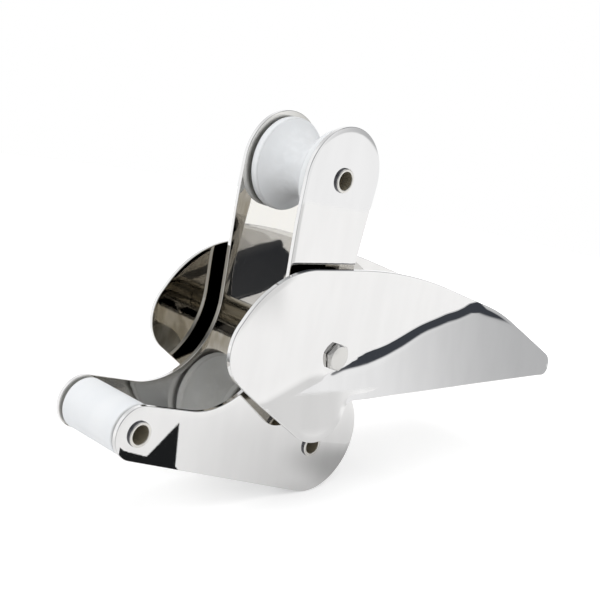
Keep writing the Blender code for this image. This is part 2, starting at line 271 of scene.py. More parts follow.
class Effects:
    """The shader node groups that several finishes share."""

    def __init__(self) -> None:
        """Build each group once."""
        self.polish = self._polish()
        self.wear = self._edge_wear_and_crease_shade()
        self.turning = self._turning()
        self.inner = self._inner_face_shade()

    def _polish(self) -> bpy.types.NodeTree:
        """Buffing haze: faint streaks along the sheet and cloudy patches between them."""
        outputs = ("Roughness", "Height", "Cloud")
        build, given, wanted = make_group("BuffingHaze", {"Least": 0.02, "Most": 0.08}, outputs)
        streaks = build.noise(build.stretched((9.0, 60.0, 160.0)), 14.0, 3.0)
        clouds = build.noise(build.stretched((1.0, 1.0, 1.0)), 22.0, 2.0)
        haze = build.math("MULTIPLY", build.ramp(streaks, 0.35, 0.75), build.ramp(clouds, 0.3, 0.7))
        spread = build.math("SUBTRACT", given["Most"], given["Least"])
        build.join(build.math("MULTIPLY_ADD", haze, spread, given["Least"]), wanted["Roughness"])
        build.join(streaks, wanted["Height"])
        lines = build.noise(build.stretched((6.0, 6.0, 1.6)), 11.0, 2.0)
        build.join(build.ramp(lines, 0.3, 0.7), wanted["Cloud"])
        return build.tree

    def _edge_wear_and_crease_shade(self) -> bpy.types.NodeTree:
        """Edge mask: where a cut edge is rounded, broken up by a fine noise. On steel it is edge wear; on the turned
        plastics it paints shade into rims, creases and the groove.
        """
        build, given, wanted = make_group("EdgeWearAndCreaseShade", {"Amount": 1.0}, ("Mask",))
        layer = build.add("ShaderNodeAttribute", attribute_name=EDGE_LAYER)
        broken = build.noise(build.stretched((1.0, 1.0, 1.0)), 180.0, 2.0)
        mask = build.math("MULTIPLY", layer.outputs["Fac"], build.ramp(broken, 0.3, 0.6, 0.4, 1.0))
        build.join(build.math("MULTIPLY", mask, given["Amount"]), wanted["Mask"])
        return build.tree

    def _inner_face_shade(self) -> bpy.types.NodeTree:
        """Painted shade on the inner faces between the plates: a mask broken up by long streaks, lighter inboard and
        towards the bottom by the given shares.
        """
        defaults = {"Amount": 1.0, "Inboard": 1.0, "Below": 1.0}
        build, given, wanted = make_group("InnerFacePaintedShade", defaults, ("Mask",))
        layer = build.add("ShaderNodeAttribute", attribute_name=INNER_SHADE_LAYER)
        streaks = build.noise(build.stretched((14.0, 20.0, 5.0)), 9.0, 3.0)
        mask = build.math("MULTIPLY", layer.outputs["Fac"], build.ramp(streaks, 0.3, 0.7, 0.72, 1.0))
        place = build.add("ShaderNodeTexCoord")
        parts = build.add("ShaderNodeSeparateXYZ")
        build.join(place.outputs["Object"], parts.inputs["Vector"])
        inboard = build.ramp(parts.outputs["X"], -0.15, -0.10)
        below = build.ramp(parts.outputs["Z"], 0.005, -0.025)
        for share, least in ((inboard, given["Inboard"]), (below, given["Below"])):
            lost = build.math("MULTIPLY", share, build.math("SUBTRACT", 1.0, least))
            mask = build.math("MULTIPLY", mask, build.math("SUBTRACT", 1.0, lost))
        build.join(build.math("MULTIPLY", mask, given["Amount"]), wanted["Mask"])
        return build.tree

    def _turning(self) -> bpy.types.NodeTree:
        """Turning marks: fine rings across a piece's axis, and its soft colour drift."""
        build, given, wanted = make_group("TurningMarks", {"Pitch": 900.0}, ("Height", "Drift"))
        place = build.add("ShaderNodeTexCoord")
        parts = build.add("ShaderNodeSeparateXYZ")
        build.join(place.outputs["Object"], parts.inputs["Vector"])
        wobble = build.noise(build.stretched((1.0, 1.0, 1.0)), 60.0, 1.0)
        phase = build.math("MULTIPLY_ADD", parts.outputs["Y"], given["Pitch"], wobble)
        build.join(build.math("SINE", build.math("MULTIPLY", phase, math.tau)), wanted["Height"])
        build.join(build.noise(build.stretched((1.0, 2.5, 1.0)), 16.0, 3.0), wanted["Drift"])
        return build.tree


def start_material(name: str) -> tuple[bpy.types.Material, ShaderBuilder, bpy.types.Node]:
    """Start a material whose Principled BSDF is ready to link.

    Args:
        name: The material's name.

    Returns:
        The material, a builder for its tree and its Principled BSDF.
    """
    material = bpy.data.materials.new(name)
    material.use_nodes = True
    surface = material.node_tree.nodes["Principled BSDF"]
    return material, ShaderBuilder(material.node_tree), surface


def place_group(build: ShaderBuilder, tree: bpy.types.NodeTree, **values: float) -> bpy.types.Node:
    """Place a shader node group with its own values.

    Args:
        build: The builder of the material.
        tree: The group.
        values: Numbers for its inputs.

    Returns:
        The group's node.
    """
    node = build.add("ShaderNodeGroup")
    node.node_tree = tree
    for name, value in values.items():
        node.inputs[name].default_value = value
    return node


def add_bump(build: ShaderBuilder, height: object, depth: float, strength: float) -> bpy.types.NodeSocket:
    """Turn a height into a normal.

    Args:
        build: The builder of the material.
        height: The socket with the height.
        depth: How far a height of 1 stands out, in metres.
        strength: The share of the effect.

    Returns:
        The normal.
    """
    bump = build.add("ShaderNodeBump")
    build.join(height, bump.inputs["Height"])
    bump.inputs["Distance"].default_value = depth
    bump.inputs["Strength"].default_value = strength
    return bump.outputs["Normal"]


@dataclass(frozen=True)
class SteelFinish:
    """Stainless steel, from mirror-polished sheet to a satin bolt."""

    name: str
    colour: Colour
    worn: Colour
    least: float
    most: float
    wear: float
    ripple: float
    # inside is the colour of painted shade on the faces between the plates; its share, inboard and below settings set
    # where it shows.
    inside: Colour = (0.42, 0.40, 0.35)
    inner_shade_share: float = 0.0
    inboard: float = 1.0
    below: float = 1.0
    metallic: float = 1.0

    def material(self, effects: Effects) -> bpy.types.Material:
        """Build the material from the shared effects."""
        material, build, surface = start_material(self.name)
        haze = place_group(build, effects.polish, Least=self.least, Most=self.most)
        edge = place_group(build, effects.wear, Amount=self.wear)
        inner = place_group(
            build, effects.inner, Amount=self.inner_shade_share, Inboard=self.inboard, Below=self.below
        )
        duller = tuple(part * 0.97 for part in self.colour)
        tint = build.blend(haze.outputs["Cloud"], duller, self.colour)
        # Painted shade on the inner faces between the plates.
        tint = build.blend(inner.outputs["Mask"], tint, self.inside)
        tint = build.blend(edge.outputs["Mask"], tint, self.worn)
        build.join(tint, surface.inputs["Base Color"])
        rough = build.math("MULTIPLY_ADD", edge.outputs["Mask"], self.most, haze.outputs["Roughness"])
        build.join(rough, surface.inputs["Roughness"])
        build.join(add_bump(build, haze.outputs["Height"], self.ripple, 0.5), surface.inputs["Normal"])
        surface.inputs["Metallic"].default_value = self.metallic
        return material


@dataclass(frozen=True)
class TurnedPlastic:
    """White nylon or acetal, turned on a lathe."""

    name: str
    colour: Colour
    shaded: Colour
    roughness: float
    pitch: float
    mark: float
    glow: float
    # The darker colour that the edge mask lays on rims, creases and the groove: painted shade.
    painted_crease_shade: Colour = (0.60, 0.61, 0.62)

    def material(self, effects: Effects) -> bpy.types.Material:
        """Build the material from the shared effects."""
        material, build, surface = start_material(self.name)
        marks = place_group(build, effects.turning, Pitch=self.pitch)
        edge = place_group(build, effects.wear, Amount=0.8)
        drift = build.ramp(marks.outputs["Drift"], 0.35, 0.7)
        tint = build.blend(drift, self.colour, self.shaded)
        # Painted shade on rims, creases and the groove.
        build.join(build.blend(edge.outputs["Mask"], tint, self.painted_crease_shade), surface.inputs["Base Color"])
        rough = build.math("MULTIPLY_ADD", drift, 0.08, self.roughness)
        build.join(rough, surface.inputs["Roughness"])
        build.join(add_bump(build, marks.outputs["Height"], self.mark, 0.4), surface.inputs["Normal"])
        surface.inputs["Subsurface Weight"].default_value = self.glow
        surface.inputs["Subsurface Radius"].default_value = (1.0, 0.95, 0.9)
        surface.inputs["Subsurface Scale"].default_value = 1.5 * MM
        return material


MIRROR_STEEL = SteelFinish(
    "mirror_steel", (0.76, 0.755, 0.75), (0.80, 0.795, 0.79), 0.018, 0.05, 0.5, 0.004 * MM
)
# Cheeks: dark brownish painted shade on their inner faces, fading inboard.
CHEEK_STEEL = replace(
    MIRROR_STEEL, name="cheek_steel", inside=(0.60, 0.565, 0.49), inner_shade_share=0.95, inboard=0.1
)
# Starboard rocker plate: a light, warm painted shade on its inner face.
ROCKER_STEEL = replace(
    MIRROR_STEEL, name="rocker_steel", inside=(0.78, 0.765, 0.725), inner_shade_share=1.0
)
# Port rocker plate: dark painted shade on its inner face, fading out towards the bottom.
INNER_SHADED_ROCKER_STEEL = replace(
    MIRROR_STEEL, name="inner_shaded_rocker_steel", inside=(0.30, 0.275, 0.23), inner_shade_share=1.0, below=0.0
)
# Axle flanks: a dark colour that paints in the dark reflections round the axle ends.
PAINTED_DARK_FLANK_STEEL = SteelFinish(
    "painted_dark_flank_steel", (0.16, 0.16, 0.175), (0.40, 0.40, 0.41), 0.16, 0.30, 0.6, 0.01 * MM, metallic=0.8
)
BORE_STEEL = SteelFinish(
    "bore_steel", (0.42, 0.38, 0.29), (0.55, 0.53, 0.48), 0.24, 0.36, 0.6, 0.002 * MM, metallic=0.55
)
AXLE_STEEL = SteelFinish(
    "axle_steel", (0.70, 0.68, 0.64), (0.80, 0.795, 0.785), 0.10, 0.20, 0.6, 0.01 * MM
)
# Pivot tube: a dark brownish colour that paints in the shade between the plates.
PAINTED_SHADE_TUBE_STEEL = SteelFinish(
    "painted_shade_tube_steel", (0.34, 0.315, 0.265), (0.50, 0.48, 0.44), 0.14, 0.24, 0.6, 0.006 * MM
)
BOLT_STEEL = SteelFinish(
    "bolt_steel", (0.66, 0.65, 0.63), (0.75, 0.74, 0.73), 0.16, 0.30, 0.7, 0.015 * MM, metallic=0.85
)
WHITE_NYLON = TurnedPlastic(
    "white_nylon_turned", (0.80, 0.815, 0.83), (0.76, 0.78, 0.80), 0.42, 900.0, 0.01 * MM, 0.15
)
PALE_ACETAL = TurnedPlastic(
    "pale_acetal_turned", (0.72, 0.72, 0.70), (0.66, 0.66, 0.64), 0.45, 1400.0, 0.01 * MM, 0.1
)


class Finishes:
    """Every material of the part, built once."""

    def __init__(self) -> None:
        """Build the shared effects and then each finish."""
        effects = Effects()
        self.mirror = MIRROR_STEEL.material(effects)
        self.cheek = CHEEK_STEEL.material(effects)
        self.rocker = {
            Side.STARBOARD: ROCKER_STEEL.material(effects),
            Side.PORT: INNER_SHADED_ROCKER_STEEL.material(effects),
        }
        self.flank = PAINTED_DARK_FLANK_STEEL.material(effects)
        self.bore = BORE_STEEL.material(effects)
        self.tube = PAINTED_SHADE_TUBE_STEEL.material(effects)
        self.axle = AXLE_STEEL.material(effects)
        self.bolt = BOLT_STEEL.material(effects)
        self.nylon = WHITE_NYLON.material(effects)
        self.acetal = PALE_ACETAL.material(effects)


def place_piece(
    name: str, mesh: bpy.types.Mesh, material: bpy.types.Material, body: Body, node: str | None = None
) -> bpy.types.Object:
    """Put a finished mesh into the scene on its body.

    Args:
        name: The piece's name.
        mesh: Its mesh, in the row frame.
        material: Its finish.
        body: The body it rides on.
        node: The CAD node that it stands for, if it stands for one.

    Returns:
        The new object.
    """
    mesh.materials.clear()
    mesh.materials.append(material)
    piece = bpy.data.objects.new(name, mesh)
    bpy.context.scene.collection.objects.link(piece)
    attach(piece, body.value)
    if node is not None:
        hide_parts(node)
    log.info("%s: %d faces on %s", name, len(mesh.polygons), body.value)
    return piece


@dataclass
class Outline:
    """A closed outline in the XZ plane, with its outward direction at each point."""

    points: list[Point2] = field(default_factory=list)
    normals: list[Point2] = field(default_factory=list)

    def add(self, point: Point2, normal: Point2) -> None:
        """Add a point, unless it lies on the last one."""
        if not self.points or math.dist(point, self.points[-1]) > 0.01 * MM:
            self.points.append(point)
            self.normals.append(normal)

    def close(self) -> None:
        """Drop the last point where it lies on the first one."""
        if math.dist(self.points[0], self.points[-1]) <= 0.01 * MM:
            self.points.pop()
            self.normals.pop()


def round_outline(circles: list[tuple[Point2, float]], chord: float = 0.004 * MM, stride: float = 6 * MM) -> Outline:
    """Run an outline counter-clockwise round a chain of circles, joined by tangent lines.

    Args:
        circles: Each circle's centre and radius, negative where the outline is hollow.
        chord: How far a chord may leave its arc.
        stride: The longest step along a straight line.

    Returns:
        The outline.
    """
    turns = []
    for (centre, radius), (after, other) in zip(circles, circles[1:] + circles[:1]):
        lean = math.acos(max(-1.0, min(1.0, (radius - other) / math.dist(centre, after))))
        turns.append(math.atan2(after[1] - centre[1], after[0] - centre[0]) - lean)
    outline = Outline()
    for i, (centre, radius) in enumerate(circles):
        start, end = turns[i - 1], turns[i]
        sweep = (end - start) % math.tau
        if radius < 0:
            sweep -= math.tau
        if math.tau - abs(sweep) < 1e-6:
            sweep = 0.0
        count = max(2, math.ceil(abs(sweep) / (2 * math.acos(1 - chord / abs(radius)))))
        for k in range(count + 1):
            turn = start + sweep * k / count
            way = (math.cos(turn), math.sin(turn))
            outline.add((centre[0] + radius * way[0], centre[1] + radius * way[1]), way)
        after, other = circles[(i + 1) % len(circles)]
        way = (math.cos(end), math.sin(end))
        first = (centre[0] + radius * way[0], centre[1] + radius * way[1])
        last = (after[0] + other * way[0], after[1] + other * way[1])
        steps = math.ceil(math.dist(first, last) / stride)
        for k in range(1, steps):
            share = k / steps
            outline.add(
                (first[0] + (last[0] - first[0]) * share, first[1] + (last[1] - first[1]) * share), way
            )
    outline.close()
    return outline


def hole_outline(centre: Point2, size: float, sides: int = 96) -> Outline:
    """Make a round hole's outline, whose outward side is the hole.

    Args:
        centre: The hole's middle.
        size: Its diameter.
        sides: How many points it has.

    Returns:
        The outline.
    """
    outline = Outline()
    for i in range(sides):
        turn = math.tau * i / sides
        way = (math.cos(turn), math.sin(turn))
        outline.add(
            (centre[0] + size / 2 * way[0], centre[1] + size / 2 * way[1]), (-way[0], -way[1])
        )
    return outline


class SheetDraft:
    """A flat sheet cut to an outline, with rounded edges and exact surface directions."""

    RIM_STEPS = 5
    ROLL_ANGLE = math.radians(3.0)
    CURL_SHARE = 0.38
    CURL_ANGLES = {1.0: 0.0, CURL_SHARE: math.radians(5.0), 0.0: math.radians(-3.0)}

    def __init__(self, low: float, high: float, foot_roll: float = 0.0) -> None:
        """Start a sheet between two planes of constant Y, its foot rolled by a share of the top's roll."""
        self.foot_roll = foot_roll
        self.low = low
        self.high = high
        self.inner = low if abs(low) < abs(high) else high
        self.bm = bmesh.new()
        self.facing = self.bm.verts.layers.float_vector.new("facing")
        self.edge = self.bm.verts.layers.float.new(EDGE_LAYER)
        self.inside = self.bm.verts.layers.float.new(INNER_SHADE_LAYER)
        self.caps: tuple[list[bmesh.types.BMEdge], list[bmesh.types.BMEdge]] = ([], [])

    def add_rim(
        self,
        outline: Outline,
        low_rounds: list[float],
        high_rounds: list[float],
        margins: list[float] | None = None,
        curls: list[float] | None = None,
    ) -> None:
        """Add the rounded rim along an outline.

        Args:
            outline: The outline of the sheet or of a hole.
            low_rounds: The edge's radius on the low side, at each point.
            high_rounds: The edge's radius on the high side, at each point.
            margins: How far in from the edge the buffing wheel has rolled the surface, at each point.
            curls: How much of a curled edge it has instead, from 0 to 1, at each point.
        """
        rings = []
        quarter = math.pi / 2
        steps = [(1.0, 0.0), (self.CURL_SHARE, 0.0)] if margins else []
        margins = margins or [0.0] * len(outline.points)
        curls = curls or [0.0] * len(outline.points)
        for k in range(self.RIM_STEPS + 1):
            steps.append((0.0, quarter * k / self.RIM_STEPS))
        for plane, sign, rounds in ((self.low, 1, low_rounds), (self.high, -1, high_rounds)):
            for further, turn in steps if sign > 0 else reversed(steps):
                ring = []
                shape = zip(outline.points, outline.normals, rounds, margins, curls)
                for point, normal, radius, margin, curl in shape:
                    inset = further * margin + radius * (1 - math.sin(turn))
                    level = plane + sign * radius * (1 - math.cos(turn))
                    vert = self.bm.verts.new((point[0] - normal[0] * inset, level, point[1] - normal[1] * inset))
                    lean = turn
                    if turn == 0 and margin > 0:
                        lean = self._roll(normal[1], curl, further)
                    # The inner face is marked for the painted shade between the plates.
                    vert[self.inside] = 1.0 if plane == self.inner and turn < quarter * 0.7 else 0.0
                    vert[self.facing] = (
                        normal[0] * math.sin(lean), -sign * math.cos(lean), normal[1] * math.sin(lean)
                    )
                    vert[self.edge] = math.sin(turn)
                    ring.append(vert)
                rings.append(ring)
        for one, other in zip(rings, rings[1:]):
            for a, b, c, d in zip(one, one[1:] + one[:1], other[1:] + other[:1], other):
                self.bm.faces.new((a, b, c, d))
        for cap, ring in zip(self.caps, (rings[0], rings[-1])):
            cap.extend(self.bm.edges.get(pair) for pair in zip(ring, ring[1:] + ring[:1]))

    def _roll(self, upward: float, curl: float, further: float) -> float:
        """Find how far the surface is rolled over in the margin.

        Args:
            upward: The outline's outward direction along Z.
            curl: How much of a curled edge it has.
            further: Where in the margin, from 0 at the edge to 1.

        Returns:
            The surface's lean towards the edge.
        """
        share = smooth_step((upward + 0.9) / 0.9)
        plain = self.ROLL_ANGLE * (1 - further) * (share - (1 - share) * self.foot_roll)
        return plain + (self.CURL_ANGLES[further] - plain) * curl

    def fill(self) -> None:
        """Fill both faces between the rims."""
        for cap in self.caps:
            bmesh.ops.triangle_fill(self.bm, use_beauty=True, use_dissolve=False, edges=cap)

    def mesh(self, name: str, place: Vector) -> bpy.types.Mesh:
        """Finish the mesh.

        Args:
            name: The mesh's name.
            place: Where the outline's origin goes.

        Returns:
            The mesh, with its own surface directions.
        """
        bmesh.ops.recalc_face_normals(self.bm, faces=self.bm.faces[:])
        directions = [vert[self.facing].normalized() for vert in self.bm.verts]
        mesh = bpy.data.meshes.new(name)
        self.bm.to_mesh(mesh)
        self.bm.free()
        mesh.transform(Matrix.Translation(place))
        mesh.shade_smooth()
        mesh.normals_split_custom_set_from_vertices(directions)
        return mesh


@dataclass(frozen=True)
class Corner:
    """A corner of a turned piece's outline: Y, radius and the fillet that rounds it."""

    y: float
    radius: float
    fillet: float = 0.0


Span = list[tuple[Point2, Point2, float]]


def rounded_spans(corners: list[Corner], step: float = math.radians(6)) -> list[Span]:
    """Round the corners of a closed outline in (y, radius), given clockwise seen with Y right.

    Args:
        corners: The corners in order.
        step: The largest turn between neighbouring points of a fillet.

    Returns:
        Spans of (point, outward direction, edge value). Neighbouring spans share end points.
    """
    spans: list[Span] = []
    count = len(corners)
    entry: list[Point2] = []
    leave: list[Point2] = []
    fillets: list[Span] = []
    for i, corner in enumerate(corners):
        here = Vector((corner.y, corner.radius))
        before = Vector((corners[i - 1].y, corners[i - 1].radius)) - here
        after = Vector((corners[(i + 1) % count].y, corners[(i + 1) % count].radius)) - here
        before.normalize()
        after.normalize()
        cross = before.x * after.y - before.y * after.x
        opening = math.acos(max(-1.0, min(1.0, before.dot(after))))
        if corner.fillet <= 0 or abs(cross) < 1e-6:
            entry.append(tuple(here))
            leave.append(tuple(here))
            fillets.append([])
            continue
        reach = corner.fillet / math.tan(opening / 2)
        middle = here + (before + after).normalized() * (corner.fillet / math.sin(opening / 2))
        first = here + before * reach
        last = here + after * reach
        start = math.atan2(first.y - middle.y, first.x - middle.x)
        sweep = math.atan2(last.y - middle.y, last.x - middle.x) - start
        sweep = (sweep + math.pi) % math.tau - math.pi
        outward = 1.0 if cross > 0 else -1.0
        pieces = max(3, math.ceil(abs(sweep) / step))
        span: Span = []
        for k in range(pieces + 1):
            turn = start + sweep * k / pieces
            way = Vector((math.cos(turn), math.sin(turn)))
            # Small fillets carry an edge value: wear on steel, painted shade on the plastics.
            worn = math.sin(math.pi * k / pieces) if corner.fillet < 2 * MM else 0.0
            span.append((tuple(middle + way * corner.fillet), tuple(way * outward), worn))
        entry.append(tuple(first))
        leave.append(tuple(last))
        fillets.append(span)
    for i in range(count):
        if fillets[i]:
            spans.append(fillets[i])
        start, end = leave[i], entry[(i + 1) % count]
        along = Vector(end) - Vector(start)
        if along.length > 1e-7:
            way = Vector((-along.y, along.x)).normalized()
            spans.append([(start, tuple(way), 0.0), (end, tuple(way), 0.0)])
    return spans


def turned_mesh(name: str, spans: list[Span], place: Vector, sides: int = 128) -> bpy.types.Mesh:
    """Turn spans about Y into a closed ring with its own surface directions.

    Args:
        name: The mesh's name.
        spans: The outline's spans.
        place: A point on the axis; its Y is added to the spans' own.
        sides: How many steps go round.

    Returns:
        The mesh.
    """
    rings: list[Point2] = []
    strips: list[tuple[int, int, Point2, Point2]] = []
    edges: list[float] = []
    for span in spans:
        for (point, way, worn), (other, other_way, _) in zip(span, span[1:]):
            rings.append(point)
            edges.append(worn)
            strips.append((len(rings) - 1, len(rings), way, other_way))
    total = len(rings)
    rounds = [(math.cos(math.tau * k / sides), math.sin(math.tau * k / sides)) for k in range(sides)]
    verts = [(r * c + place.x, y + place.y, r * s + place.z) for y, r in rings for c, s in rounds]
    faces: list[tuple[int, int, int, int]] = []
    directions: list[tuple[float, float, float]] = []
    for low, high, way, other_way in strips:
        high %= total
        for k in range(sides):
            after = (k + 1) % sides
            faces.append((low * sides + k, low * sides + after, high * sides + after, high * sides + k))
            for index, facing in ((k, way), (after, way), (after, other_way), (k, other_way)):
                c, s = rounds[index]
                directions.append((facing[1] * c, facing[0], facing[1] * s))
    mesh = bpy.data.meshes.new(name)
    mesh.from_pydata(verts, [], faces)
    mesh.shade_smooth()
    layer = mesh.attributes.new(EDGE_LAYER, "FLOAT", "POINT")
    layer.data.foreach_set("value", [worn for worn in edges for _ in range(sides)])
    if sum(Vector(p.normal).dot(Vector(directions[p.loop_indices[0]])) for p in mesh.polygons) < 0:
        mesh.flip_normals()
        directions = [directions[loop] for loop in flipped_loops(mesh)]
    mesh.normals_split_custom_set(directions)
    return mesh


def flipped_loops(mesh: bpy.types.Mesh) -> list[int]:
    """List where each face corner of a flipped mesh of quads stood before the flip."""
    order = []
    for face in mesh.polygons:
        first = face.loop_start
        order += [first, first + 3, first + 2, first + 1]
    return order


def tube_corners(low: float, high: float, outer: float, bore: float, edge: float) -> list[Corner]:
    """Corners of a plain tube between two planes.

    Args:
        low: The lower end's Y.
        high: The upper end's Y.
        outer: The outer diameter.
        bore: The bore's diameter.
        edge: The fillet on its edges.

    Returns:
        The corners, for rounded_spans.
    """
    return [
        Corner(low, bore / 2, edge / 2),
        Corner(low, outer / 2, edge),
        Corner(high, outer / 2, edge),
        Corner(high, bore / 2, edge / 2),
    ]


def line_span(start: Point2, end: Point2) -> Span:
    """Return a straight span, clockwise seen with Y right, whose outward side is its left."""
    way = Vector((start[1] - end[1], end[0] - start[0])).normalized()
    return [(start, tuple(way), 0.0), (end, tuple(way), 0.0)]


def arc_span(middle: Point2, radius: float, start: float, end: float, outward: int, worn: float = 0.0) -> Span:
    """Return an arc's span.

    Args:
        middle: The arc's centre as (y, radius).
        radius: The arc's radius.
        start: Its first direction from the centre, in radians.
        end: Its last direction.
        outward: 1 where the surface looks away from the centre, -1 where it looks at it.
        worn: The edge value halfway along; on the nylon rollers it paints shade along the arc.

    Returns:
        The span.
    """
    pieces = max(4, math.ceil(abs(end - start) / math.radians(3)))
    span: Span = []
    for k in range(pieces + 1):
        turn = start + (end - start) * k / pieces
        way = (math.cos(turn), math.sin(turn))
        point = (middle[0] + radius * way[0], middle[1] + radius * way[1])
        span.append((point, (way[0] * outward, way[1] * outward), worn * math.sin(math.pi * k / pieces)))
    return span


@dataclass(frozen=True)
class BendProfile:
    """How a cheek bends outwards: a quick bend to a steep strip, then back to the flap's slope."""

    slope: float = math.radians(14.9)
    start: float = 7.0 * MM
    bend_width: float = 2.5 * MM
    strip_width: float = 3.2 * MM
    ease_width: float = 6.0 * MM
    steepest: float = math.radians(14.6)
    angle: float = math.radians(10.5)
    soft_start: float = -2.8 * MM
    soft_width: float = 16.0 * MM
    fade_from: float = -15.0 * MM
    fade_to: float = -2.0 * MM
    wander: tuple[Point2, ...] = (
        (8.0 * MM, 1.3 * MM),
        (28.0 * MM, -1.4 * MM),
        (52.0 * MM, 0.2 * MM),
        (90.0 * MM, -1.9 * MM),
        (115.0 * MM, -1.0 * MM),
        (134.0 * MM, 0.8 * MM),
    )
    swell: tuple[Point2, ...] = (
        (6.0 * MM, -2.0 * MM),
        (30.0 * MM, 3.4 * MM),
        (62.0 * MM, 1.9 * MM),
        (100.0 * MM, -0.3 * MM),
        (134.0 * MM, -0.6 * MM),
    )
    reach: float = 150.0 * MM

    def across(self) -> Vector:
        """Direction in the sheet, at right angles to the bend and towards the flared part."""
        return Vector((math.sin(self.slope), 0.0, -math.cos(self.slope)))

    def along(self) -> Vector:
        """Direction of the bend in the sheet, inboard and up."""
        return Vector((math.cos(self.slope), 0.0, math.sin(self.slope)))

    def stages(self, soft: bool = False, swell: float = 0.0) -> list[tuple[float, float, float]]:
        """Each stage's width, first angle and last angle; the last stage never ends."""
        if soft:
            return [(self.soft_width, 0.0, self.angle), (math.inf, self.angle, self.angle)]
        return [
            (self.bend_width, 0.0, self.steepest),
            (self.strip_width + swell, self.steepest, self.steepest),
            (self.ease_width, self.steepest, self.angle),
            (math.inf, self.angle, self.angle),
        ]

    def rise(self, x: float, z: float) -> tuple[float, float]:
        """Find how far the sheet stands out at a point and how steeply.

        Args:
            x: Distance inboard of the pivot.
            z: Height over the pivot.

        Returns:
            The rise and the slope, both along the direction across the bend.
        """
        across = x * math.sin(self.slope) - z * math.cos(self.slope)
        along = x * math.cos(self.slope) + z * math.sin(self.slope)
        crisp = smooth_step((along - self.fade_from) / (self.fade_to - self.fade_from))
        past = across - self.start - eased_value(along, self.wander)
        rise, steep = self._profile(past, self.stages(swell=eased_value(along, self.swell)))
        soft_rise, soft_steep = self._profile(across - self.soft_start, self.stages(soft=True))
        return soft_rise + (rise - soft_rise) * crisp, soft_steep + (steep - soft_steep) * crisp

    def _profile(self, past: float, stages: list[tuple[float, float, float]]) -> tuple[float, float]:
        """Follow stages of a bend.

        Args:
            past: How far the point lies past the bend's start.
            stages: Each stage's width, first angle and last angle.

        Returns:
            The rise and the slope there.
        """
        total, steep = 0.0, 0.0
        for width, first, last in stages:
            if past <= 0:
                break
            run = min(past, width)
            if first == last:
                total += run * math.tan(first)
                steep = math.tan(first)
            else:
                radius = width / (math.sin(last) - math.sin(first))
                here = math.asin(math.sin(first) + run / radius)
                total += radius * (math.cos(first) - math.cos(here))
                steep = math.tan(here)
            past -= width
        return total, steep

    def cuts(self, fine: float = 0.4 * MM) -> list[float]:
        """Distances from the pivot line at which the sheet is divided."""
        stops = [self.soft_start + self.soft_width * k / 16 for k in range(8)]
        first = self.start + min(shift for _, shift in self.wander)
        last = self.start + self.bend_width + self.strip_width + self.ease_width + 3 * MM
        count = math.ceil((last - first) / fine)
        return stops + [first + (last - first) * k / count for k in range(count + 1)]

    def cross_cuts(self, pitch: float = 7.5 * MM) -> list[float]:
        """Distances along the bend at which the sheet is divided."""
        count = math.ceil((self.reach - self.fade_from) / pitch)
        return [self.fade_from + pitch * k for k in range(count + 1)]


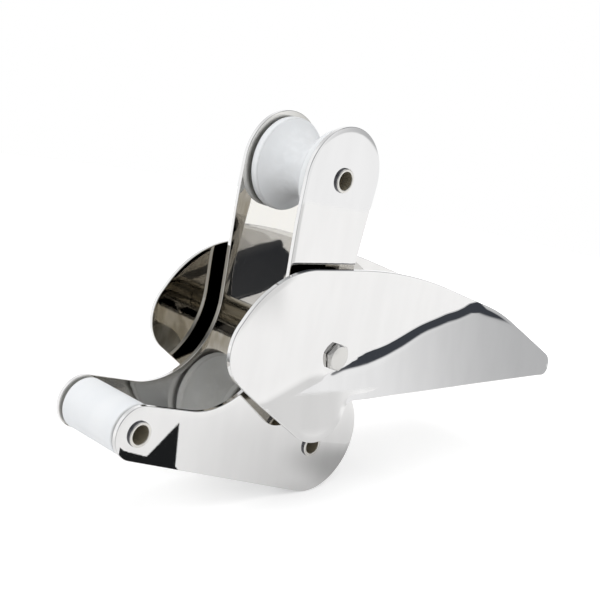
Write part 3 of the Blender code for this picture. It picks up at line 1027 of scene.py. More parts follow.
@dataclass
class Base:
    """The fixed base: two leaf-shaped cheeks, flared at the back, and the deck plate."""

    finishes: Finishes
    sheet: float = 3.0 * MM
    inner: float = 35.2 * MM
    edge: float = 0.4 * MM
    weld_edge: float = 0.7 * MM
    weld_fade: float = 9.0 * MM
    margin: float = 4.5 * MM
    curl: float = 5.0 * MM
    foot_margin: float = 9.0 * MM
    curl_span: tuple[float, float, float, float] = (128.0 * MM, 148.0 * MM, 165.0 * MM, 215.0 * MM)
    pivot_height: float = 31.6 * MM
    bolt_hole: float = 11.0 * MM
    fillet: float = 8.4 * MM
    deck_start: float = 33.3 * MM
    deck_length: float = 210.0 * MM
    screw_hole: float = 8.5 * MM
    screw_rows: tuple[Point2, ...] = ((-70.0 * MM, 27.0 * MM), (70.0 * MM, 32.0 * MM))
    tail: tuple[Point2, float] = ((245.4 * MM, -22.5 * MM), 9.1 * MM)
    aft: tuple[Point2, float] = ((119.5 * MM, -133.5 * MM), 166.9 * MM)
    top: tuple[Point2, float] = ((-8.1 * MM, -381.0 * MM), 440.0 * MM)
    shoulder: tuple[Point2, float] = ((-35.2 * MM, -7.8 * MM), 68.0 * MM)
    nose: tuple[Point2, float] = ((-71.6 * MM, 11.5 * MM), 27.2 * MM)
    lobe: tuple[Point2, float] = ((-14.2 * MM, -26.4 * MM), 29.5 * MM)
    bend: BendProfile = BendProfile()

    def build(self) -> None:
        """Build and dress the three pieces."""
        for side in Side:
            self._cheek(side)
        self._deck_plate()
        self._welds()

    def _outline(self) -> Outline:
        """Trace a cheek from the tail over the top to the lobe under the pivot."""
        (lobe_x, lobe_z), lobe_round = self.lobe
        fillet_z = -self.pivot_height - self.fillet
        reach = lobe_round + self.fillet
        fillet_x = lobe_x + math.sqrt(reach**2 - (fillet_z - lobe_z) ** 2)
        fillet = ((fillet_x, fillet_z), -self.fillet)
        return round_outline([self.tail, self.aft, self.top, self.shoulder, self.nose, self.lobe, fillet])

    def _outer_rounds(self, outline: Outline) -> list[float]:
        """Find the outer edge's radius at each point: larger along the welded foot."""
        foot = [
            point[0]
            for point, normal in zip(outline.points, outline.normals)
            if abs(point[1] + self.pivot_height) < 0.02 * MM and normal[1] < -0.999
        ]
        first, last = min(foot), max(foot)
        rounds = []
        for point, normal in zip(outline.points, outline.normals):
            inside = min(point[0] - first, last - point[0])
            low = smooth_step(-normal[1]) if point[1] < 0.02 * MM - self.pivot_height else 0.0
            share = smooth_step(inside / self.weld_fade) * low
            rounds.append(self.edge + (self.weld_edge - self.edge) * share)
        return rounds

    def _margins(self, outline: Outline) -> tuple[list[float], list[float]]:
        """Find where the top edge of the flap curls, and the rolled margin's width at each point.

        Args:
            outline: The cheek's outline.

        Returns:
            The margin's width and the share of curl at each point.
        """
        rise_start, rise_end, fall_start, fall_end = self.curl_span
        widths, curls = [], []
        for (x, _), (_, upward) in zip(outline.points, outline.normals):
            curl = smooth_step((x - rise_start) / (rise_end - rise_start))
            curl *= smooth_step((fall_end - x) / (fall_end - fall_start)) * smooth_step(upward * 4)
            foot = smooth_step(-1 - 2 * upward) * smooth_step((x - self.deck_start) / (40 * MM))
            foot *= smooth_step((self.tail[0][0] - x) / (40 * MM))
            widths.append(self.margin + self.curl * curl + self.foot_margin * foot)
            curls.append(curl)
        return widths, curls

    def _cheek(self, side: Side) -> None:
        """Build one cheek, bend its flare and dress it."""
        node = f"{side.label}_cheek"
        low, high = sorted((side.value * self.inner, side.value * (self.inner + self.sheet)))
        draft = SheetDraft(low, high, foot_roll=0.45)
        outline = self._outline()
        plain = [self.edge] * len(outline.points)
        outer = self._outer_rounds(outline)
        margins, curls = self._margins(outline)
        low_rounds, high_rounds = (outer, plain) if side is Side.PORT else (plain, outer)
        draft.add_rim(outline, low_rounds, high_rounds, margins, curls)
        hole = hole_outline((0.0, 0.0), self.bolt_hole)
        slight = [self.edge / 2] * len(hole.points)
        draft.add_rim(hole, slight, slight)
        draft.fill()
        self._bend(draft, side)
        mesh = draft.mesh(node, hinge_place("rocker_tilt"))
        place_piece(f"{side.label}_cheek_sheet", mesh, self.finishes.cheek, Body.BASE, node)

    def _bend(self, draft: SheetDraft, side: Side) -> None:
        """Divide a cheek across its bend, bend it and turn its surface directions with it."""
        across, along = self.bend.across(), self.bend.along()
        planes = [(across, stop) for stop in self.bend.cuts()]
        planes += [(along, stop) for stop in self.bend.cross_cuts()]
        for facing, stop in planes:
            everything = draft.bm.verts[:] + draft.bm.edges[:] + draft.bm.faces[:]
            bmesh.ops.bisect_plane(
                draft.bm, geom=everything, dist=0.001 * MM, plane_co=facing * stop, plane_no=facing
            )
        for vert in draft.bm.verts:
            rise, steep = self.bend.rise(vert.co.x, vert.co.z)
            if rise <= 0 and steep <= 0:
                continue
            vert.co.y += side.value * rise
            facing = vert[draft.facing]
            tilt = side.value * steep * facing.y
            vert[draft.facing] = (facing.x - tilt * across.x, facing.y, facing.z - tilt * across.z)

    def _deck_plate(self) -> None:
        """Build the deck plate with its countersunk screw holes."""
        pivot = hinge_place("rocker_tilt")
        front = pivot.x + self.deck_start
        level = self.sheet - self.pivot_height
        corners = []
        for x in (self.deck_start, self.deck_start + self.deck_length):
            corners.append((x + pivot.x, self.inner + self.bend.rise(x, level)[0] - GAP))
        (front, narrow), (back, wide) = corners
        bm = bmesh.new()
        layers = []
        places = [(x, side.value * y) for x, y in self.screw_rows for side in Side]
        sink = self.screw_hole + 2 * self.sheet
        ring = 64
        for z, size, inset in ((0.0, self.screw_hole, 0.0), (self.sheet - self.edge, 0.0, 0.0), (self.sheet, sink, self.edge)):
            plate = [
                (front + inset, -narrow + inset), (back - inset, -wide + inset),
                (back - inset, wide - inset), (front + inset, narrow - inset),
            ]
            loops = [plate]
            if size:
                for x, y in places:
                    turns = [math.tau * k / ring for k in range(ring)]
                    loops.append([(x + size / 2 * math.cos(t), y + size / 2 * math.sin(t)) for t in turns])
            verts = [[bm.verts.new((x, y, z)) for x, y in loop] for loop in loops]
            layers.append(verts)
            if size:
                edges = [
                    bm.edges.new(pair) for loop in verts for pair in zip(loop, loop[1:] + loop[:1])
                ]
                bmesh.ops.triangle_fill(bm, use_beauty=True, use_dissolve=False, edges=edges)
        bottom, middle, top = layers
        strips = [(bottom[0], middle[0]), (middle[0], top[0])] + list(zip(bottom[1:], top[1:]))
        for one, other in strips:
            for a, b, c, d in zip(one, one[1:] + one[:1], other[1:] + other[:1], other):
                bm.faces.new((a, b, c, d))
        bmesh.ops.recalc_face_normals(bm, faces=bm.faces[:])
        mesh = bpy.data.meshes.new("deck_plate_sheet")
        bm.to_mesh(mesh)
        bm.free()
        mesh.shade_smooth()
        mesh.set_sharp_from_angle(angle=math.radians(30))
        place_piece("deck_plate_sheet", mesh, self.finishes.mirror, Body.BASE, "deck_plate")

    def _welds(self) -> None:
        """Lay a small polished weld bead in each inner corner between deck plate and cheek."""
        pivot = hinge_place("rocker_tilt")
        for side in Side:
            bead = WeldBead(radius=1.9 * MM)
            start, length = self.deck_start + 2 * MM, self.deck_length - 4 * MM
            count = 140
            route = []
            for k in range(count + 1):
                x = start + length * k / count
                y = self.inner + self.bend.rise(x, self.sheet - self.pivot_height)[0] - GAP
                route.append(Vector((x + pivot.x, side.value * y, self.sheet)))
            mesh = bead.mesh(f"{side.label}_deck_weld", route)
            place_piece(f"{side.label}_deck_weld", mesh, self.finishes.bolt, Body.BASE)


@dataclass(frozen=True)
class WeldBead:
    """A thin weld bead, laid as a rippled round bar that is sunk into a corner."""

    radius: float
    ripple: float = 0.12
    pitch: float = 2.4 * MM
    sides: int = 12

    def mesh(self, name: str, route: list[Vector]) -> bpy.types.Mesh:
        """Build the bead along a route.

        Args:
            name: The mesh's name.
            route: Points along the bead's middle.

        Returns:
            The closed mesh.
        """
        bm = bmesh.new()
        rings = []
        walked = 0.0
        for k, here in enumerate(route):
            after = route[min(k + 1, len(route) - 1)]
            before = route[max(k - 1, 0)]
            along = (after - before).normalized()
            walked += (here - before).length
            up = Vector((0.0, 0.0, 1.0))
            aside = along.cross(up).normalized()
            ends = min(1.0, 0.3 + 0.7 * min(k, len(route) - 1 - k) / 3)
            size = self.radius * ends * (1 + self.ripple * math.sin(math.tau * walked / self.pitch))
            ring = []
            for j in range(self.sides):
                turn = math.tau * j / self.sides
                ring.append(bm.verts.new(here + (aside * math.cos(turn) + up * math.sin(turn)) * size))
            rings.append(ring)
        for one, other in zip(rings, rings[1:]):
            for a, b, c, d in zip(one, one[1:] + one[:1], other[1:] + other[:1], other):
                bm.faces.new((a, b, c, d))
        bm.faces.new(rings[0])
        bm.faces.new(rings[-1])
        bmesh.ops.recalc_face_normals(bm, faces=bm.faces[:])
        mesh = bpy.data.meshes.new(name)
        bm.to_mesh(mesh)
        bm.free()
        mesh.shade_smooth()
        return mesh


@dataclass
class PivotSet:
    """The M10 pivot bolt with its lock nut, washers, spacers, bushes and tube."""

    finishes: Finishes
    head_seat: float = 38.5 * MM
    nut_seat: float = 40.4 * MM
    size: float = 10.0 * MM
    length: float = 95.0 * MM
    flats: float = 17.0 * MM
    head_height: float = 3.6 * MM
    head_turn: float = math.radians(15.0)
    nut_height: float = 10.0 * MM
    collar: float = 7.0 * MM
    pitch: float = 1.5 * MM
    thread_length: float = 26.0 * MM
    thread_depth: float = 0.85 * MM
    edge: float = 0.4 * MM
    sides: int = 96

    def build(self) -> None:
        """Build and dress every piece on the pivot line."""
        self._bolt()
        self._nut()
        self._ring("nut_washer", self.size + 2 * GAP, self.finishes.bolt, Slot.FASTENER, Body.BASE)
        for side in Side:
            spacer = f"{side.label}_pivot_spacer"
            self._ring(spacer, self.size + 2 * GAP, self.finishes.bolt, Slot.FASTENER, Body.BASE)
            self._bush(side)
        self._ring("pivot_tube", 14.6 * MM, self.finishes.tube, Slot.STEEL, Body.ROCKER)

    def _ring(
        self, node: str, bore: float, material: bpy.types.Material, slot: Slot, body: Body
    ) -> None:
        """Build a plain ring in place of a node, from the node's own box."""
        low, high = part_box(node)
        pivot = hinge_place("rocker_tilt")
        corners = tube_corners(low.y, high.y, high.z - low.z, bore, self.edge)
        mesh = turned_mesh(node, rounded_spans(corners), Vector((pivot.x, 0.0, pivot.z)))
        place_piece(f"{node}_ring", mesh, material, body, node)

    def _bush(self, side: Side) -> None:
        """Build one flanged bush."""
        node = f"{side.label}_pivot_bush"
        low, high = span_of(node)
        pivot = hinge_place("rocker_tilt")
        bore, body, flange, thick = 5.3 * MM, 7.0 * MM, 12.0 * MM, 2.0 * MM
        corners = [
            Corner(low, bore, 0.2 * MM),
            Corner(low, body, 0.3 * MM),
            Corner(high - thick, body, 0.2 * MM),
            Corner(high - thick, flange, 0.3 * MM),
            Corner(high, flange, 0.3 * MM),
            Corner(high, bore, 0.2 * MM),
        ]
        if side is Side.PORT:
            corners = [Corner(low + high - c.y, c.radius, c.fillet) for c in reversed(corners)]
        mesh = turned_mesh(node, rounded_spans(corners), Vector((pivot.x, 0.0, pivot.z)))
        place_piece(f"{side.label}_flanged_bush", mesh, self.finishes.acetal, Body.ROCKER, node)

    def _hex_radius(self, turn: float) -> float:
        """Distance from a hexagon's middle to its side in one direction, its corners broken."""
        within = (turn - self.head_turn + math.pi / 6) % (math.pi / 3) - math.pi / 6
        return min(self.flats / 2 / math.cos(within), self.flats * 0.572)

    def _lathe(self, name: str, rings: list[tuple[float, float, bool]], closed: bool) -> bpy.types.Mesh:
        """Join rings, some of them cut by the hexagon, into a mesh.

        Args:
            name: The mesh's name.
            rings: Each ring's Y, its radius and whether the hexagon cuts it.
            closed: Whether the last ring joins the first, as in a nut.

        Returns:
            The mesh, its edges sharp where they turn by more than 25 degrees.
        """
        pivot = hinge_place("rocker_tilt")
        bm = bmesh.new()
        loops = []
        for y, radius, hexagonal in rings:
            loop = []
            for k in range(self.sides):
                turn = math.tau * k / self.sides
                reach = min(radius, self._hex_radius(turn)) if hexagonal else radius
                loop.append(bm.verts.new((pivot.x + reach * math.cos(turn), y, pivot.z + reach * math.sin(turn))))
            loops.append(loop)
        pairs = list(zip(loops, loops[1:]))
        if closed:
            pairs.append((loops[-1], loops[0]))
        else:
            bm.faces.new(loops[0])
            bm.faces.new(loops[-1])
        for one, other in pairs:
            for a, b, c, d in zip(one, one[1:] + one[:1], other[1:] + other[:1], other):
                bm.faces.new((a, b, c, d))
        bmesh.ops.recalc_face_normals(bm, faces=bm.faces[:])
        mesh = bpy.data.meshes.new(name)
        bm.to_mesh(mesh)
        bm.free()
        mesh.shade_smooth()
        mesh.set_sharp_from_angle(angle=math.radians(25))
        return mesh

    def _head_rings(self, outer: float, inner: float) -> list[tuple[float, float, bool]]:
        """Rings of a chamfered hexagon from its outer end to its seat."""
        way = 1 if inner > outer else -1
        rings = [(outer, self.flats * 0.44, False), (outer + way * 0.12 * MM, self.flats * 0.475, False)]
        for k in range(9):
            share = k / 8
            radius = self.flats * (0.475 + 0.105 * share)
            rings.append((outer + way * (0.2 + 1.05 * share) * MM, radius, True))
        rings.append((inner - way * 0.5 * MM, self.flats * 0.58, True))
        rings.append((inner - way * 0.5 * MM, self.flats * 0.475, False))
        rings.append((inner, self.flats * 0.47, False))
        return rings

    def _bolt(self) -> None:
        """Build the hexagon head, the shank and the threaded end."""
        seat = -self.head_seat
        end = seat + self.length
        rings = self._head_rings(seat - self.head_height, seat)
        rings += [(seat, self.size / 2, False), (end - self.thread_length, self.size / 2, False)]
        rings.append((end - self.thread_length + 0.5 * MM, self.size / 2 - self.thread_depth, False))
        rings.append((end - 0.6 * MM, self.size / 2 - self.thread_depth, False))
        rings.append((end, self.size / 2 - self.thread_depth - 0.5 * MM, False))
        mesh = self._lathe("pivot_bolt_body", rings, closed=False)
        place_piece("pivot_bolt_body", mesh, self.finishes.bolt, Body.BASE, "pivot_bolt")
        self._thread(end)

    def _thread(self, end: float) -> None:
        """Wind the rolled thread on the bolt's end as a helical ridge."""
        pivot = hinge_place("rocker_tilt")
        root = self.size / 2 - self.thread_depth - 0.05 * MM
        crest = self.size / 2
        first = end - self.thread_length + 0.8 * MM
        last = end - 1.0 * MM
        per_turn = 40
        count = int((last - first) / self.pitch * per_turn)
        profile = ((-0.46, root), (-0.07, crest), (0.07, crest), (0.46, root))
        bm = bmesh.new()
        rings = []
        for k in range(count + 1):
            turn = math.tau * k / per_turn
            middle = first + self.pitch * k / per_turn
            fade = smooth_step(min(k, count - k) / (per_turn * 0.6))
            ring = []
            for offset, radius in profile:
                reach = root + (radius - root) * fade
                ring.append(bm.verts.new((
                    pivot.x + reach * math.cos(turn), middle + offset * self.pitch, pivot.z + reach * math.sin(turn)
                )))
            rings.append(ring)
        for one, other in zip(rings, rings[1:]):
            for a, b, c, d in zip(one, one[1:] + one[:1], other[1:] + other[:1], other):
                bm.faces.new((a, b, c, d))
        bm.faces.new(rings[0])
        bm.faces.new(rings[-1])
        bmesh.ops.recalc_face_normals(bm, faces=bm.faces[:])
        mesh = bpy.data.meshes.new("pivot_bolt_thread")
        bm.to_mesh(mesh)
        bm.free()
        place_piece("pivot_bolt_thread", mesh, self.finishes.bolt, Body.BASE)

    def _nut(self) -> None:
        """Build the self-locking nut and the white ring that locks it."""
        seat = self.nut_seat
        bore = self.size / 2 + GAP / 2
        rings = [(seat, bore, False), (seat, self.flats * 0.5, True)]
        rings += [(seat + 0.4 * MM, self.flats * 0.555, True), (seat + 0.9 * MM, self.flats * 0.58, True)]
        rings += [(seat + self.collar - 0.9 * MM, self.flats * 0.58, True)]
        rings += [(seat + self.collar - 0.3 * MM, self.flats * 0.53, True)]
        rings += [(seat + self.collar, self.flats * 0.475, False)]
        top = seat + self.nut_height
        for k in range(7):
            turn = math.pi / 2 * k / 6
            round_edge = 1.3 * MM
            rings.append((top - round_edge * (1 - math.sin(turn)), self.flats * 0.455 - round_edge * (1 - math.cos(turn)), False))
        rings += [(top, self.flats * 0.375, False), (top - 0.8 * MM, self.flats * 0.37, False)]
        rings += [(top - 0.8 * MM, bore, False)]
        mesh = self._lathe("lock_nut", rings, closed=True)
        place_piece("lock_nut", mesh, self.finishes.bolt, Body.BASE, "pivot_nut")
        pivot = hinge_place("rocker_tilt")
        corners = tube_corners(top - 0.85 * MM, top - 0.35 * MM, self.flats * 0.73, self.size + 0.1 * MM, 0.1 * MM)
        insert = turned_mesh("nut_insert", rounded_spans(corners), Vector((pivot.x, 0.0, pivot.z)), 64)
        place_piece("nut_insert", insert, self.finishes.acetal, Body.BASE)


@dataclass
class Rocker:
    """The two equal boomerang plates of the rocker."""

    finishes: Finishes
    edge: float = 0.4 * MM
    bush_hole: float = 14.6 * MM
    axle_hole: float = 16.04 * MM
    margin: float = 4.5 * MM
    head_round: float = 34.5 * MM
    front: tuple[Point2, float] = ((293.9 * MM, 89.6 * MM), 344.4 * MM)
    throat: tuple[Point2, float] = ((-101.9 * MM, 23.6 * MM), -53.0 * MM)
    toe_round: float = 17.2 * MM
    heel: tuple[Point2, float] = ((9.0 * MM, -63.2 * MM), 38.7 * MM)
    back: tuple[Point2, float] = ((97.9 * MM, 27.7 * MM), -88.0 * MM)

    def build(self) -> None:
        """Build and dress both plates."""
        pivot = hinge_place("rocker_tilt")
        axles = []
        for joint in ("head_spin", "heel_spin", "toe_spin"):
            place = hinge_place(joint) - pivot
            axles.append((place.x, place.z))
        head, _, toe = axles
        chain = [(head, self.head_round), self.front, self.throat, (toe, self.toe_round), self.heel, self.back]
        outline = round_outline(chain)
        for side in Side:
            node = f"{side.label}_rocker_plate"
            draft = SheetDraft(*span_of(node))
            plain = [self.edge] * len(outline.points)
            draft.add_rim(outline, plain, plain, [self.margin] * len(outline.points))
            holes = [((0.0, 0.0), self.bush_hole)] + [(axle, self.axle_hole) for axle in axles]
            for centre, size in holes:
                hole = hole_outline(centre, size)
                slight = [self.edge / 4] * len(hole.points)
                draft.add_rim(hole, slight, slight)
            draft.fill()
            mesh = draft.mesh(node, pivot)
            finish = self.finishes.rocker[side]
            place_piece(f"{side.label}_boomerang", mesh, finish, Body.ROCKER, node)


@dataclass
class RollerStation:
    """One roller with its hollow axle and the thrust washers at its ends."""

    finishes: Finishes
    station: str
    body: Body
    grooved: bool
    axle_bore: float = 12.0 * MM
    roller_bore: float = 16.6 * MM
    neck: float = 17.0 * MM
    land: float = 6.0 * MM
    rim_round: float = 1.5 * MM
    crease_round: float = 1.6 * MM
    edge: float = 0.6 * MM

    def build(self) -> None:
        """Build and dress the roller, the axle and both washers."""
        place = hinge_place(f"{self.station}_spin")
        self._axle(place)
        for side in Side:
            node = f"{self.station}_{side.label}_washer"
            low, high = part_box(node)
            corners = tube_corners(low.y, high.y, high.z - low.z, self.roller_bore, 0.2 * MM)
            mesh = turned_mesh(node, rounded_spans(corners), place, 96)
            piece = f"{self.station}_{side.label}_thrust_ring"
            place_piece(piece, mesh, self.finishes.acetal, Body.ROCKER, node)
        node = f"{self.station}_roller"
        spans = self._groove_spans(node) if self.grooved else self._plain_spans(node)
        mesh = turned_mesh(node, spans, place, 192)
        place_piece(f"{self.station}_nylon_roller", mesh, self.finishes.nylon, self.body, node)

    def _axle(self, place: Vector) -> None:
        """Build the hollow axle, its ends rounded."""
        node = f"{self.station}_axle"
        low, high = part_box(node)
        corners = [
            Corner(low.y, self.axle_bore / 2, 0.5 * MM),
            Corner(low.y, (high.z - low.z) / 2, 0.7 * MM),
            Corner(high.y, (high.z - low.z) / 2, 0.7 * MM),
            Corner(high.y, self.axle_bore / 2, 0.5 * MM),
        ]
        mesh = turned_mesh(node, rounded_spans(corners), place)
        piece = f"{self.station}_hollow_axle"
        place_piece(piece, mesh, self.finishes.axle, Body.ROCKER, node)
        mesh.materials.append(self.finishes.flank)
        mesh.materials.append(self.finishes.bore)
        # The outer flank takes the dark painted finish; the bore takes the bore finish.
        between = (self.axle_bore + high.z - low.z) / 4
        for face in mesh.polygons:
            if abs(face.normal.y) < 0.35:
                middle = face.center - place
                face.material_index = 1 if math.hypot(middle.x, middle.z) > between else 2

    def _plain_spans(self, node: str) -> list[Span]:
        """Trace the plain roller."""
        low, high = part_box(node)
        size = high.z - low.z
        bore = self.roller_bore / 2
        return rounded_spans([
            Corner(low.y, bore, 0.5 * MM),
            Corner(low.y, size / 2, self.rim_round),
            Corner(high.y, size / 2, self.rim_round),
            Corner(high.y, bore, 0.5 * MM),
        ])

    def _groove_spans(self, node: str) -> list[Span]:
        """Trace the grooved roller: two lands with a round groove between them."""
        low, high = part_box(node)
        rim, half = (high.z - low.z) / 2, high.y
        bore = self.roller_bore / 2
        chord, depth = half - self.land, rim - self.neck
        radius = (chord**2 + depth**2) / (2 * depth)
        middle = (0.0, self.neck + radius)
        small = self.crease_round
        drop = middle[1] - (rim - small)
        place = math.sqrt((radius + small) ** 2 - drop**2)
        lean = math.atan2(drop, place)
        edge = self.rim_round
        quarter = math.pi / 2
        # Edge values that paint shade on the nylon: full on the rims and creases, 0.55 along the groove.
        return [
            line_span((-half, bore), (-half, rim - edge)),
            arc_span((-half + edge, rim - edge), edge, 2 * quarter, quarter, 1, 1.0),
            line_span((-half + edge, rim), (-place, rim)),
            arc_span((-place, rim - small), small, quarter, lean, 1, 1.0),
            arc_span(middle, radius, -math.pi + lean, -lean, -1, 0.55),
            arc_span((place, rim - small), small, math.pi - lean, quarter, 1, 1.0),
            line_span((place, rim), (half - edge, rim)),
            arc_span((half - edge, rim - edge), edge, quarter, 0.0, 1, 1.0),
            line_span((half, rim - edge), (half, bore)),
            line_span((half, bore), (-half, bore)),
        ]


@dataclass
class Studio:
    """Pale floor, plain soft light and the camera of the photograph."""

    floor_level: float = -70.5 * MM
    floor_reach: float = 1.25
    room_shade: float = 0.05
    front_loss: float = 0.40
    front_wall: float = 0.55
    mirror_white: Colour = (1.13, 1.135, 1.145)
    mirror_dark: tuple[float, float, float] = (0.0, 0.006, 0.018)
    floor_tone: float = 0.86
    ambient: float = 0.68
    mirror_lift: float = 0.26
    eye: tuple[float, float, float] = (-0.7309, -0.5130, 0.2432)
    right: tuple[float, float, float] = (0.6764, -0.7135, 0.1826)
    up: tuple[float, float, float] = (0.0468, 0.2891, 0.9562)
    forward: tuple[float, float, float] = (0.7350, 0.6382, -0.2289)
    lens: float = 71.52

    def build(self) -> None:
        """Set up the whole studio."""
        self._camera()
        self._world()
        self._floor()
        self._dark_reflection_shapes()
        self._lamps()
        bpy.context.scene.view_settings.view_transform = "Standard"

    def _camera(self) -> None:
        """Stand the camera where the photograph was taken from."""
        data = bpy.data.cameras.new("product_camera")
        data.lens = self.lens
        data.sensor_width = 36.0
        data.clip_start = 0.01
        data.dof.use_dof = False
        camera = bpy.data.objects.new("product_camera", data)
        turn = Matrix((self.right, self.up, [-part for part in self.forward])).transposed()
        camera.matrix_world = Matrix.Translation(self.eye) @ turn.to_4x4()
        bpy.context.scene.collection.objects.link(camera)
        bpy.context.scene.camera = camera

    def _world(self) -> None:
        """Light the set evenly, with a white background and a graded one for reflections."""
        world = bpy.data.worlds.new("studio")
        bpy.context.scene.world = world
        world.use_nodes = True
        build = ShaderBuilder(world.node_tree)
        world.node_tree.nodes.clear()
        path = build.add("ShaderNodeLightPath")
        place = build.add("ShaderNodeTexCoord")
        parts = build.add("ShaderNodeSeparateXYZ")
        build.join(place.outputs["Generated"], parts.inputs["Vector"])
        height = parts.outputs["Z"]
        turn = build.math("ARCTAN2", parts.outputs["Y"], parts.outputs["X"])
        sweep = build.math(
            "MULTIPLY",
            build.ramp(turn, math.radians(-28), math.radians(-14)),
            build.ramp(turn, math.radians(165), math.radians(135)),
        )
        sweep = build.math("MULTIPLY", sweep, build.ramp(height, 0.55, 0.9, 1.0, 0.55))
        table = build.math(
            "MULTIPLY",
            build.ramp(turn, math.radians(-75), math.radians(-60), 1.0 - self.front_loss, 1.0),
            build.ramp(height, -0.075, -0.035, 1.0, 0.0),
        )
        table = build.math("MULTIPLY", table, build.ramp(turn, math.radians(-47.0), math.radians(-44.5), 0.74, 1.0))
        horizon = build.ramp(turn, math.radians(-47), math.radians(-37), 0.95, 0.52)
        edge = build.ramp(turn, math.radians(-47), math.radians(-38), 0.028, 0.016)
        above = build.math("SUBTRACT", height, edge)
        horizon = build.math("MULTIPLY", horizon, build.ramp(above, 0.0, 0.038, 1.0, 0.0))
        far_left = build.ramp(turn, math.radians(-47.5), math.radians(-50.5))
        horizon = build.math("MAXIMUM", horizon, build.math("MULTIPLY", far_left, 0.72))
        horizon = build.math("MULTIPLY", horizon, build.ramp(turn, math.radians(-80), math.radians(-60)))
        ceiling = build.ramp(height, 0.35, 0.95, self.room_shade, 0.55)
        wall = build.math(
            "ADD",
            build.ramp(turn, math.radians(-62), math.radians(-80)),
            build.ramp(turn, math.radians(150), math.radians(165)),
        )
        wall = build.math("MULTIPLY", wall, build.ramp(height, 0.0, 0.6, self.front_wall, 0.10))
        tone = build.math("MAXIMUM", table, build.math("MAXIMUM", horizon, wall))
        tone = build.math("MAXIMUM", sweep, build.math("MAXIMUM", tone, ceiling))
        mirrored = build.blend(tone, self.mirror_dark, self.mirror_white)
        plain = build.blend(path.outputs["Is Glossy Ray"], (self.ambient,) * 3, mirrored)
        seen = build.blend(path.outputs["Is Camera Ray"], plain, (1.0, 1.0, 1.0))
        glow = build.add("ShaderNodeBackground")
        build.join(seen, glow.inputs["Color"])
        output = build.add("ShaderNodeOutputWorld")
        build.join(glow.outputs[0], output.inputs["Surface"])

    def _floor(self) -> None:
        """Lay the floor: white to the camera where no shadow falls; in reflections bright, with painted shade near the
        part and on the camera's side.
        """
        mesh = bpy.data.meshes.new("studio_floor")
        reach, z = self.floor_reach, self.floor_level
        rounds = [math.tau * k / 128 for k in range(128)]
        mesh.from_pydata([(reach * math.cos(t), reach * math.sin(t), z) for t in rounds], [], [tuple(range(128))])
        floor = bpy.data.objects.new("studio_floor", mesh)
        bpy.context.scene.collection.objects.link(floor)
        material, build, surface = start_material("studio_floor_paper")
        surface.inputs["Roughness"].default_value = 0.9
        surface.inputs["Specular IOR Level"].default_value = 0.0
        path = build.add("ShaderNodeLightPath")
        spot = build.add("ShaderNodeNewGeometry")
        away = build.add("ShaderNodeVectorMath", operation="LENGTH")
        build.join(spot.outputs["Position"], away.inputs[0])
        far = build.ramp(away.outputs["Value"], 0.25, 0.75, 0.36, 1.0)
        lift = build.math("MULTIPLY", path.outputs["Is Camera Ray"], far)
        parts = build.add("ShaderNodeSeparateXYZ")
        build.join(spot.outputs["Position"], parts.inputs["Vector"])
        turn = build.math(
            "ARCTAN2",
            build.math("ADD", parts.outputs["Y"], 0.04),
            build.math("ADD", parts.outputs["X"], 0.14),
        )
        # Painted shade seen only in reflections: a darker sector further out, a painted shadow round the part's foot
        # and a darker spot beside it.
        beside = build.ramp(turn, math.radians(-44.5), math.radians(-47.0), 0.0, 0.26)
        beside = build.math("MULTIPLY", beside, build.ramp(away.outputs["Value"], 0.35, 0.60))
        aside = build.math("SUBTRACT", 1.0, beside)
        under = build.add("ShaderNodeVectorMath", operation="DISTANCE")
        build.join(spot.outputs["Position"], under.inputs[0])
        under.inputs[1].default_value = (-0.060, -0.040, self.floor_level)
        aside = build.math("MULTIPLY", aside, build.ramp(under.outputs["Value"], 0.03, 0.19, 0.78, 1.0))
        past = build.math("MULTIPLY_ADD", parts.outputs["X"], -0.53, 0.0533)
        past = build.math("MULTIPLY_ADD", parts.outputs["Y"], 0.848, past)
        patch = build.math("MULTIPLY", build.ramp(past, -0.001, 0.001), build.ramp(under.outputs["Value"], 0.02, 0.065, 0.42, 0.0))
        aside = build.math("MULTIPLY", aside, build.math("SUBTRACT", 1.0, patch))
        # Darker towards the camera's side, from 0.22 to 0.42 m out.
        front = build.math(
            "ADD",
            build.ramp(turn, math.radians(-62), math.radians(-75)),
            build.ramp(turn, math.radians(150), math.radians(165)),
        )
        front = build.math("MULTIPLY", front, build.ramp(away.outputs["Value"], 0.22, 0.42))
        kept = build.math("SUBTRACT", 1.0, build.math("MULTIPLY", front, self.front_loss))
        tone = build.math("MULTIPLY", aside, kept)
        mirrored = build.math("MULTIPLY", tone, self.mirror_lift)
        lift = build.math("ADD", lift, build.math("MULTIPLY", mirrored, path.outputs["Is Glossy Ray"]))
        shade = build.math("MULTIPLY", build.math("SUBTRACT", 1.0, tone), path.outputs["Is Glossy Ray"])
        paper = (self.floor_tone,) * 3
        build.join(build.blend(shade, paper, (0.0, 0.0, 0.0)), surface.inputs["Base Color"])
        surface.inputs["Emission Color"].default_value = (1.0, 1.0, 1.0, 1.0)
        build.join(lift, surface.inputs["Emission Strength"])
        mesh.materials.append(material)

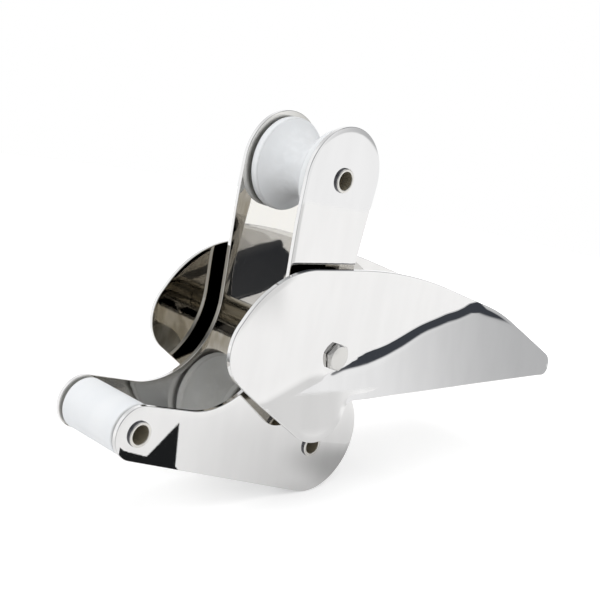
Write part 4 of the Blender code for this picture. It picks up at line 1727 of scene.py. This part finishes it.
    def _dark_reflection_shapes(self) -> None:
        """Lay dark shapes on the floor, seen only in reflections, as a painted dark reflection in the port rocker
        plate.
        """
        mats = (
            ("dark_reflection_shape", ((-132, -161), (-200, -117.5), (-212, -137), (-240, -100), (-205, -60), (-192, -96)), 0.016),
        )
        for name, corners, tone in mats:
            mesh = bpy.data.meshes.new(name)
            level = self.floor_level + 1.0 * MM
            mesh.from_pydata([(x * MM, y * MM, level) for x, y in corners], [], [tuple(range(len(corners)))])
            material, _, surface = start_material(f"{name}_cloth")
            surface.inputs["Base Color"].default_value = (0.0, 0.0, 0.0, 1.0)
            surface.inputs["Specular IOR Level"].default_value = 0.0
            surface.inputs["Emission Color"].default_value = (tone * 0.95, tone, tone * 1.08, 1.0)
            surface.inputs["Emission Strength"].default_value = 1.0
            mesh.materials.append(material)
            mat = bpy.data.objects.new(name, mesh)
            bpy.context.scene.collection.objects.link(mat)
            mat.visible_camera = mat.visible_diffuse = mat.visible_shadow = mat.visible_transmission = False

    def _lamps(self) -> None:
        """Shine soft light from the top, the left and the front."""
        lamps = (
            ("top_light", (-0.15, -0.15, 1.0), 60.0, 0.85),
            ("left_light", (-1.0, 0.7, 0.35), 40.0, 0.65),
            ("front_light", (-0.6, -1.0, 0.6), 50.0, 0.35),
        )
        for name, towards, spread, power in lamps:
            data = bpy.data.lights.new(name, "SUN")
            data.angle = math.radians(spread)
            data.energy = power
            lamp = bpy.data.objects.new(name, data)
            lamp.rotation_euler = Vector(towards).to_track_quat("Z", "Y").to_euler()
            lamp.visible_camera = False
            lamp.visible_glossy = False
            bpy.context.scene.collection.objects.link(lamp)


def main() -> None:
    """Build the bow roller and its studio."""
    logging.basicConfig(level=logging.INFO, format="%(name)s %(message)s")
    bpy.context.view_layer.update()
    finishes = Finishes()
    Base(finishes).build()
    PivotSet(finishes).build()
    Rocker(finishes).build()
    stations = (("head", Body.HEAD, True), ("heel", Body.HEEL, True), ("toe", Body.TOE, False))
    for station, body, grooved in stations:
        RollerStation(finishes, station, body, grooved).build()
    Studio().build()


if __name__ == "__main__":
    main()
